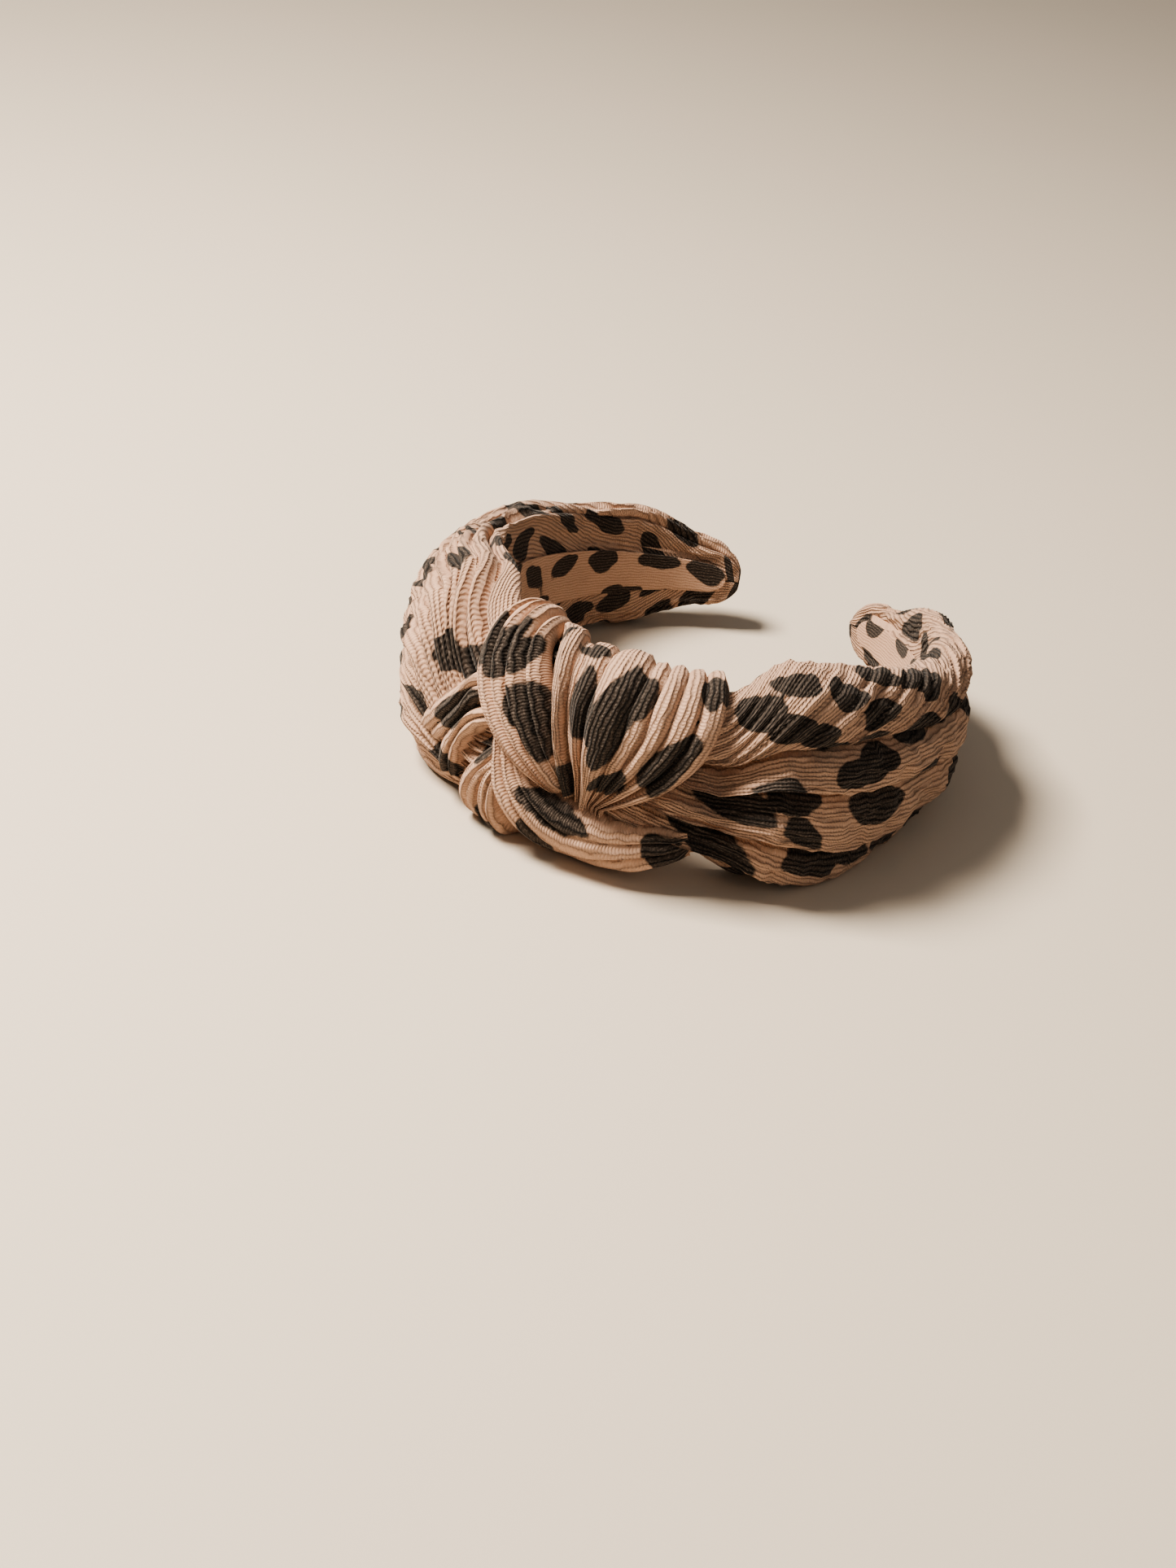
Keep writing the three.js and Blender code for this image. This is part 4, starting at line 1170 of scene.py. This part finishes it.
def knit_materials():
    """The cover's rib knit and the lining's flat knit, made once."""
    if "printed_rib_knit" not in bpy.data.materials:
        look = bpy.context.scene.headband_knit
        groups = (knit_group(), print_group())
        knit_material("printed_rib_knit", groups, look, look.wale_pitch / MM, 1.0, 0.5)
        knit_material("printed_flat_knit", groups, look, look.wale_pitch / MM * 0.75, 0.45, 0.2)
    return bpy.data.materials["printed_rib_knit"], bpy.data.materials["printed_flat_knit"]


# ---------- Settings ----------


class HeadbandKnit(bpy.types.PropertyGroup):
    """Colours and stitch sizes of the printed knit."""

    ground_colour: bpy.props.FloatVectorProperty(
        name="Ground", description="Colour of the knit between the spots", subtype="COLOR",
        default=(0.66, 0.445, 0.33), min=0, max=1)
    ground_shade: bpy.props.FloatVectorProperty(
        name="Ground shade", description="Darker drift of the ground colour", subtype="COLOR",
        default=(0.51, 0.335, 0.245), min=0, max=1)
    # Painted shade: the colour that the ground is darkened toward in the grooves between the wales.
    groove_shade_colour: bpy.props.FloatVectorProperty(
        name="Groove", description="Colour down between the wales", subtype="COLOR",
        default=(0.24, 0.14, 0.095), min=0, max=1)
    fibre_colour: bpy.props.FloatVectorProperty(
        name="Fibre", description="Colour of the lightest fibres", subtype="COLOR",
        default=(0.90, 0.70, 0.56), min=0, max=1)
    spot_colour: bpy.props.FloatVectorProperty(
        name="Spot", description="Colour of the printed spots", subtype="COLOR",
        default=(0.026, 0.020, 0.017), min=0, max=1)
    # Real heather fibres and painted highlight: this colour is shown only on the rib crests of the spots.
    heather_and_crest_colour: bpy.props.FloatVectorProperty(
        name="Heather", description="Colour of the light fibres in the spots", subtype="COLOR",
        default=(0.27, 0.215, 0.18), min=0, max=1)
    wale_pitch: bpy.props.FloatProperty(
        name="Wale pitch", description="Distance from wale to wale", subtype="DISTANCE", default=0.00125)
    course_pitch: bpy.props.FloatProperty(
        name="Course pitch", description="Distance from course to course", subtype="DISTANCE", default=0.0008)


class HeadbandFolds(bpy.types.PropertyGroup):
    """Depths of the gathers, pleats and ridges of the cover."""

    fold_depth: bpy.props.FloatProperty(
        name="Fold depth", description="Depth of the creases between the big folds", subtype="DISTANCE",
        default=0.006)
    pleat_depth: bpy.props.FloatProperty(
        name="Pleat depth", description="Depth of the pleats within a fold", subtype="DISTANCE",
        default=0.0021)
    ridge_height: bpy.props.FloatProperty(
        name="Ridge height", description="Height of the narrow pleat ridges", subtype="DISTANCE",
        default=0.0011)
    fold_lean: bpy.props.FloatProperty(
        name="Fold lean", description="How far a fold leans over the next one down", subtype="DISTANCE",
        default=0.003)
    cloth_pressure: bpy.props.FloatProperty(
        name="Cloth pressure", description="Pressure that fills the cloth out between its creases",
        default=18.0)
    cloth_ease: bpy.props.FloatProperty(
        name="Cloth ease", description="How much larger the cloth is than the shape it starts from",
        default=0.025)
    cloth_reach: bpy.props.FloatProperty(
        name="Cloth reach", description="How far the cloth may move as it settles", subtype="DISTANCE",
        default=0.0018)
    shingle: bpy.props.FloatProperty(
        name="Shingle", description="How far a fold's lower side stands over the next fold's upper side",
        subtype="DISTANCE", default=0.0062)


class HeadbandStage(bpy.types.PropertyGroup):
    """Light and table of the picture."""

    table_colour: bpy.props.FloatVectorProperty(
        name="Table", description="Colour of the table", subtype="COLOR",
        default=(0.66, 0.58, 0.49), min=0, max=1)
    window_power: bpy.props.FloatProperty(
        name="Window", description="Power of the window light", subtype="POWER", default=25.0, min=0)
    room_strength: bpy.props.FloatProperty(
        name="Room", description="Strength of the light from the room", default=0.2, min=0)


# ---------- Operators ----------

BLEND_FROM = FLEX_AT - 9
BLEND_TO = FLEX_AT + 9
# How far from the crown's middle the two halves of the lining and of the foam start.
HALVES_APART = 0.02


def bend_at_hinge(piece, side):
    sign = -1 if side == "left" else 1
    start, end = to_row(place(np.array([sign * BLEND_FROM, sign * BLEND_TO]), 0.0, 0.0))
    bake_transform(piece)


class HEADBAND_OT_cover(bpy.types.Operator):
    """Build the gathered knit cover of both arms and under the knot."""

    bl_idname = "headband.cover"
    bl_label = "Gathered Cover"

    def execute(self, context):
        folds = context.scene.headband_folds
        rib, _ = knit_materials()
        for side, start in (("left", -UNDER_FROM + GAP), ("right", UNDER_TO + GAP)):
            points, faces, fabric, flip = arm_shell(side, start, folds)
            if flip:
                faces = [tuple(reversed(face)) for face in faces]
            if side == "left":
                rolls = [
                    strand_along(
                        route, 40, 0.8, [1, 1], [0, 0.5, 1], 7 + k, 1.8, shaped(COVER_SPOTS), 40.0 + 12 * k)
                    for k, route in enumerate(ROLL_ROUTES)
                ]
                rolls = [(lay_on_surface(to_row(part[0])), part[1], part[2]) for part in rolls]
                points, faces, fabric = join_parts([(points, faces, fabric), *rolls])
            piece = make_piece(f"gathered_cover_{side}", points, faces, fabric, rib)
            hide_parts(f"cover_{side}", f"neck_{side}")
            bend_at_hinge(piece, side)
        points, faces, fabric, flip = under_shell(folds)
        piece = make_piece("gathered_cover_under_knot", points, faces, fabric, rib, flip)
        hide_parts("under_strand")
        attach(piece, "crown")
        return {"FINISHED"}


class HEADBAND_OT_knot(bpy.types.Operator):
    """Build the two strands tied over the crown: the fan and the loop that crosses under it."""

    bl_idname = "headband.knot"
    bl_label = "Knot Strands"

    def execute(self, context):
        rib, _ = knit_materials()
        points, faces, fabric = fan_strand()
        fan = make_piece("knot_fan", lay_on_surface(to_row(points)), faces, fabric, rib)
        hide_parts("fan_strand")
        head = strand_along(
            route_on_band(HEAD_ROUTE), 80, 0.8, [0.9, 1.1, 1.0, 1.2, 1.0], [0, 0.2, 0.38, 0.56, 0.78, 1],
            61, 3.0, shaped(HEAD_SPOTS), 3.0)
        loop = strand_along(
            route_on_band(LOOP_ROUTE), 84, 0.8, [0.8, 1.15, 1.0, 0.9], [0, 0.22, 0.5, 0.74, 1],
            83, 2.8, shaped(LOOP_SPOTS), 27.0)
        points, faces, fabric = join_parts([head, loop])
        strand = make_piece("knot_loop", lay_on_surface(to_row(points)), faces, fabric, rib)
        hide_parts("sweep_strand")
        for piece in (fan, strand):
            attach(piece, "crown")
        return {"FINISHED"}


class HEADBAND_OT_lining(bpy.types.Operator):
    """Build the lining that is sewn along the inner side of the hoop, in two halves."""

    bl_idname = "headband.lining"
    bl_label = "Lining"

    def execute(self, context):
        _, flat_knit = knit_materials()
        for side in ("left", "right"):
            piece = self.half(side, flat_knit)
            nodes = ["lining_left", "lining_crown"] if side == "left" else ["lining_right"]
            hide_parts(*nodes)
            bend_at_hinge(piece, side)
        return {"FINISHED"}

    def half(self, side, material):
        sign = -1 if side == "left" else 1
        distance = rounded_rows(HALVES_APART, LINING_END, HOOP_TIP_RADIUS, 1.3, 10)
        rounding = tip_rounding(distance, LINING_END, HOOP_TIP_RADIUS, 0.05)
        half = ((hoop_half(distance) - LINING_INSET) * rounding)[:, None]
        turn = np.linspace(0, 2 * math.pi, 60, endpoint=False)[None, :]
        across = np.sign(np.cos(turn)) * np.abs(np.cos(turn)) ** 0.35
        level = np.sign(np.sin(turn)) * np.abs(np.sin(turn)) ** 0.3
        thick = (LINING_TOP - LINING_BACK) / 2
        s = (sign * distance)[:, None]
        z = half * across
        seam = np.exp(-((np.abs(across) - 0.93) / 0.035) ** 2) * 0.16
        pucker = 0.06 * np.sin(distance[:, None] * 2 * math.pi / 2.6) * smoothstep(0.85, 0.98, np.abs(across))
        sag = 0.05 * ripple(s, z, 13, 6)
        n = (LINING_TOP + LINING_BACK) / 2 + thick * level * (1 - seam)
        n = n + (pucker + sag) * (level < 0) * 0.5 + 0.04
        points = place(s, z, n)
        faces = tube_faces(*z.shape)
        spots = scattered_spots([], (-PRINT_REACH, PRINT_REACH), (-24, 24), 71)
        s_all = np.broadcast_to(s, z.shape)
        fabric = np.stack([s_all, z, print_field(s_all, z, spots)], axis=-1).reshape(-1, 3)
        points = to_row(points.reshape(-1, 3))
        return make_piece(f"lining_{side}_half", points, faces, fabric, material, side == "left")


class HEADBAND_OT_foam(bpy.types.Operator):
    """Build the foam padding under the cover, in two halves that meet at the crown."""

    bl_idname = "headband.foam"
    bl_label = "Foam Padding"

    def execute(self, context):
        foam = foam_material()
        for side in ("left", "right"):
            sign = -1 if side == "left" else 1
            distance = rounded_rows(HALVES_APART, PAD_END, HOOP_TIP_RADIUS, 2.0, 8)
            rounding = tip_rounding(distance, PAD_END, HOOP_TIP_RADIUS, 0.05)
            half = (hoop_half(distance) * rounding)[:, None]
            top = ease_along("right", PAD_HEIGHTS, distance)[:, None]
            across, up = dome(np.linspace(0, math.pi, 41)[None, :])
            z = half * across
            n = PAD_BASE + (top - PAD_BASE) * up
            s = (sign * distance)[:, None]
            n = n - 0.12 * (1 + ripple(s, z, 7, 4)) * (n > PAD_BASE + 1)
            points = to_row(place(s, z, n).reshape(-1, 3))
            faces = tube_faces(*z.shape)
            fabric = np.zeros(points.shape)
            piece = make_piece(f"foam_{side}_half", points, faces, fabric, foam, side == "right")
            nodes = ["pad_left", "pad_crown"] if side == "left" else ["pad_right"]
            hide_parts(*nodes)
            bend_at_hinge(piece, side)
        return {"FINISHED"}


class HEADBAND_OT_hoop(bpy.types.Operator):
    """Give the sprung hoop inside the band its satin plastic."""

    bl_idname = "headband.hoop"
    bl_label = "Hoop Finish"

    def execute(self, context):
        plastic = plastic_material()
        for node in ("hoop_crown", "hoop_left", "hoop_right"):
            hoop = bpy.data.objects[node]
            for k in range(max(1, len(hoop.material_slots))):
                if not hoop.material_slots:
                    hoop.data.materials.append(plastic)
                hoop.material_slots[k].material = plastic
        return {"FINISHED"}


VIEW_AZIMUTH = 23.8
VIEW_ELEVATION = 25.4
VIEW_ROLL = 11.5
VIEW_TARGET = (-7.3, 24.2, -29.3)
VIEW_DISTANCE = 657.5
VIEW_LENS = 52.0
SENSOR = 36.0
TABLE_HALF_SIZE = 6.0
# Lights as name, place from the band's middle, size, share of the window's power, and colour.
LIGHTS = (
    ("window", (-0.56, -0.28, 0.95), 0.36, 1.0, (1.0, 0.93, 0.83)),
    ("room_fill", (0.9, -0.7, 0.8), 1.2, 0.08, (1.0, 0.93, 0.86)),
)
ROOM_COLOUR = (1.0, 0.94, 0.87, 1)


class HEADBAND_OT_stage(bpy.types.Operator):
    """Set up the table, the window light and the camera."""

    bl_idname = "headband.stage"
    bl_label = "Stage"

    def execute(self, context):
        stage = context.scene.headband_stage
        self.table(stage)
        self.camera(context)
        self.lights(context, stage)
        return {"FINISHED"}

    def table(self, stage):
        far = TABLE_HALF_SIZE
        mesh = bpy.data.meshes.new("table_top")
        corners = [(-far, -far, 0), (far, -far, 0), (far, far, 0), (-far, far, 0)]
        mesh.from_pydata(corners, [], [(0, 1, 2, 3)])
        table = bpy.data.objects.new("table_top", mesh)
        bpy.context.scene.collection.objects.link(table)
        table.data.materials.append(table_material(tuple(stage.table_colour)))

    def camera(self, context):
        azimuth, elevation, roll = (math.radians(a) for a in (VIEW_AZIMUTH, VIEW_ELEVATION, VIEW_ROLL))
        level = math.cos(elevation)
        back = Vector((math.sin(azimuth) * level, -math.cos(azimuth) * level, math.sin(elevation)))
        right = Vector((math.cos(azimuth), math.sin(azimuth), 0))
        up = back.cross(right)
        rolled_right = right * math.cos(roll) + up * math.sin(roll)
        rolled_up = -right * math.sin(roll) + up * math.cos(roll)
        turned = [Vector(TURN @ np.array(axis)) for axis in (rolled_right, rolled_up, back)]
        target = Vector(to_row(np.array(VIEW_TARGET)))
        camera = bpy.data.objects.new("camera", bpy.data.cameras.new("camera"))
        context.scene.collection.objects.link(camera)
        rotation = Matrix(turned).transposed()
        camera.matrix_world = Matrix.Translation(target + turned[2] * VIEW_DISTANCE * MM) @ rotation.to_4x4()
        camera.data.sensor_fit = "AUTO"
        camera.data.sensor_width = SENSOR
        camera.data.lens = VIEW_LENS
        context.scene.camera = camera

    def lights(self, context, stage):
        low, high = CAD_BOX
        centre = (low + high) / 2
        for name, at, size, share, tint in LIGHTS:
            light = bpy.data.lights.new(name, "AREA")
            light.shape = "RECTANGLE"
            light.size = size
            light.size_y = size
            light.energy = stage.window_power * share
            light.color = tint
            lamp = bpy.data.objects.new(name, light)
            lamp.location = centre + Vector(at)
            lamp.rotation_euler = (-Vector(at)).to_track_quat("-Z", "Y").to_euler()
            context.scene.collection.objects.link(lamp)
        world = bpy.data.worlds.new("room")
        world.use_nodes = True
        background = world.node_tree.nodes["Background"]
        background.inputs["Color"].default_value = ROOM_COLOUR
        background.inputs["Strength"].default_value = stage.room_strength
        context.scene.world = world
        context.scene.view_settings.look = "AgX - High Contrast"


class HEADBAND_PT_panel(bpy.types.Panel):
    """Lists the headband's settings and the steps that build it."""

    bl_label = "Headband"
    bl_idname = "HEADBAND_PT_panel"
    bl_space_type = "VIEW_3D"
    bl_region_type = "UI"
    bl_category = "Headband"

    def draw(self, context):
        scene = context.scene
        for group in (scene.headband_knit, scene.headband_folds, scene.headband_stage):
            for name in group.bl_rna.properties.keys():
                if name not in ("rna_type", "name"):
                    self.layout.prop(group, name)
        for operator in OPERATORS:
            self.layout.operator(operator.bl_idname)


OPERATORS = (
    HEADBAND_OT_stage, HEADBAND_OT_cover, HEADBAND_OT_knot, HEADBAND_OT_lining, HEADBAND_OT_foam,
    HEADBAND_OT_hoop,
)
CLASSES = (HeadbandKnit, HeadbandFolds, HeadbandStage, *OPERATORS, HEADBAND_PT_panel)


def register():
    for cls in CLASSES:
        bpy.utils.register_class(cls)
    bpy.types.Scene.headband_knit = bpy.props.PointerProperty(type=HeadbandKnit)
    bpy.types.Scene.headband_folds = bpy.props.PointerProperty(type=HeadbandFolds)
    bpy.types.Scene.headband_stage = bpy.props.PointerProperty(type=HeadbandStage)


def unregister():
    del bpy.types.Scene.headband_stage
    del bpy.types.Scene.headband_folds
    del bpy.types.Scene.headband_knit
    for cls in reversed(CLASSES):
        bpy.utils.unregister_class(cls)


def main():
    register()
    bpy.ops.headband.stage()
    bpy.ops.headband.cover()
    bpy.ops.headband.knot()
    bpy.ops.headband.lining()
    bpy.ops.headband.foam()
    bpy.ops.headband.hoop()


if __name__ == "__main__":
    main()
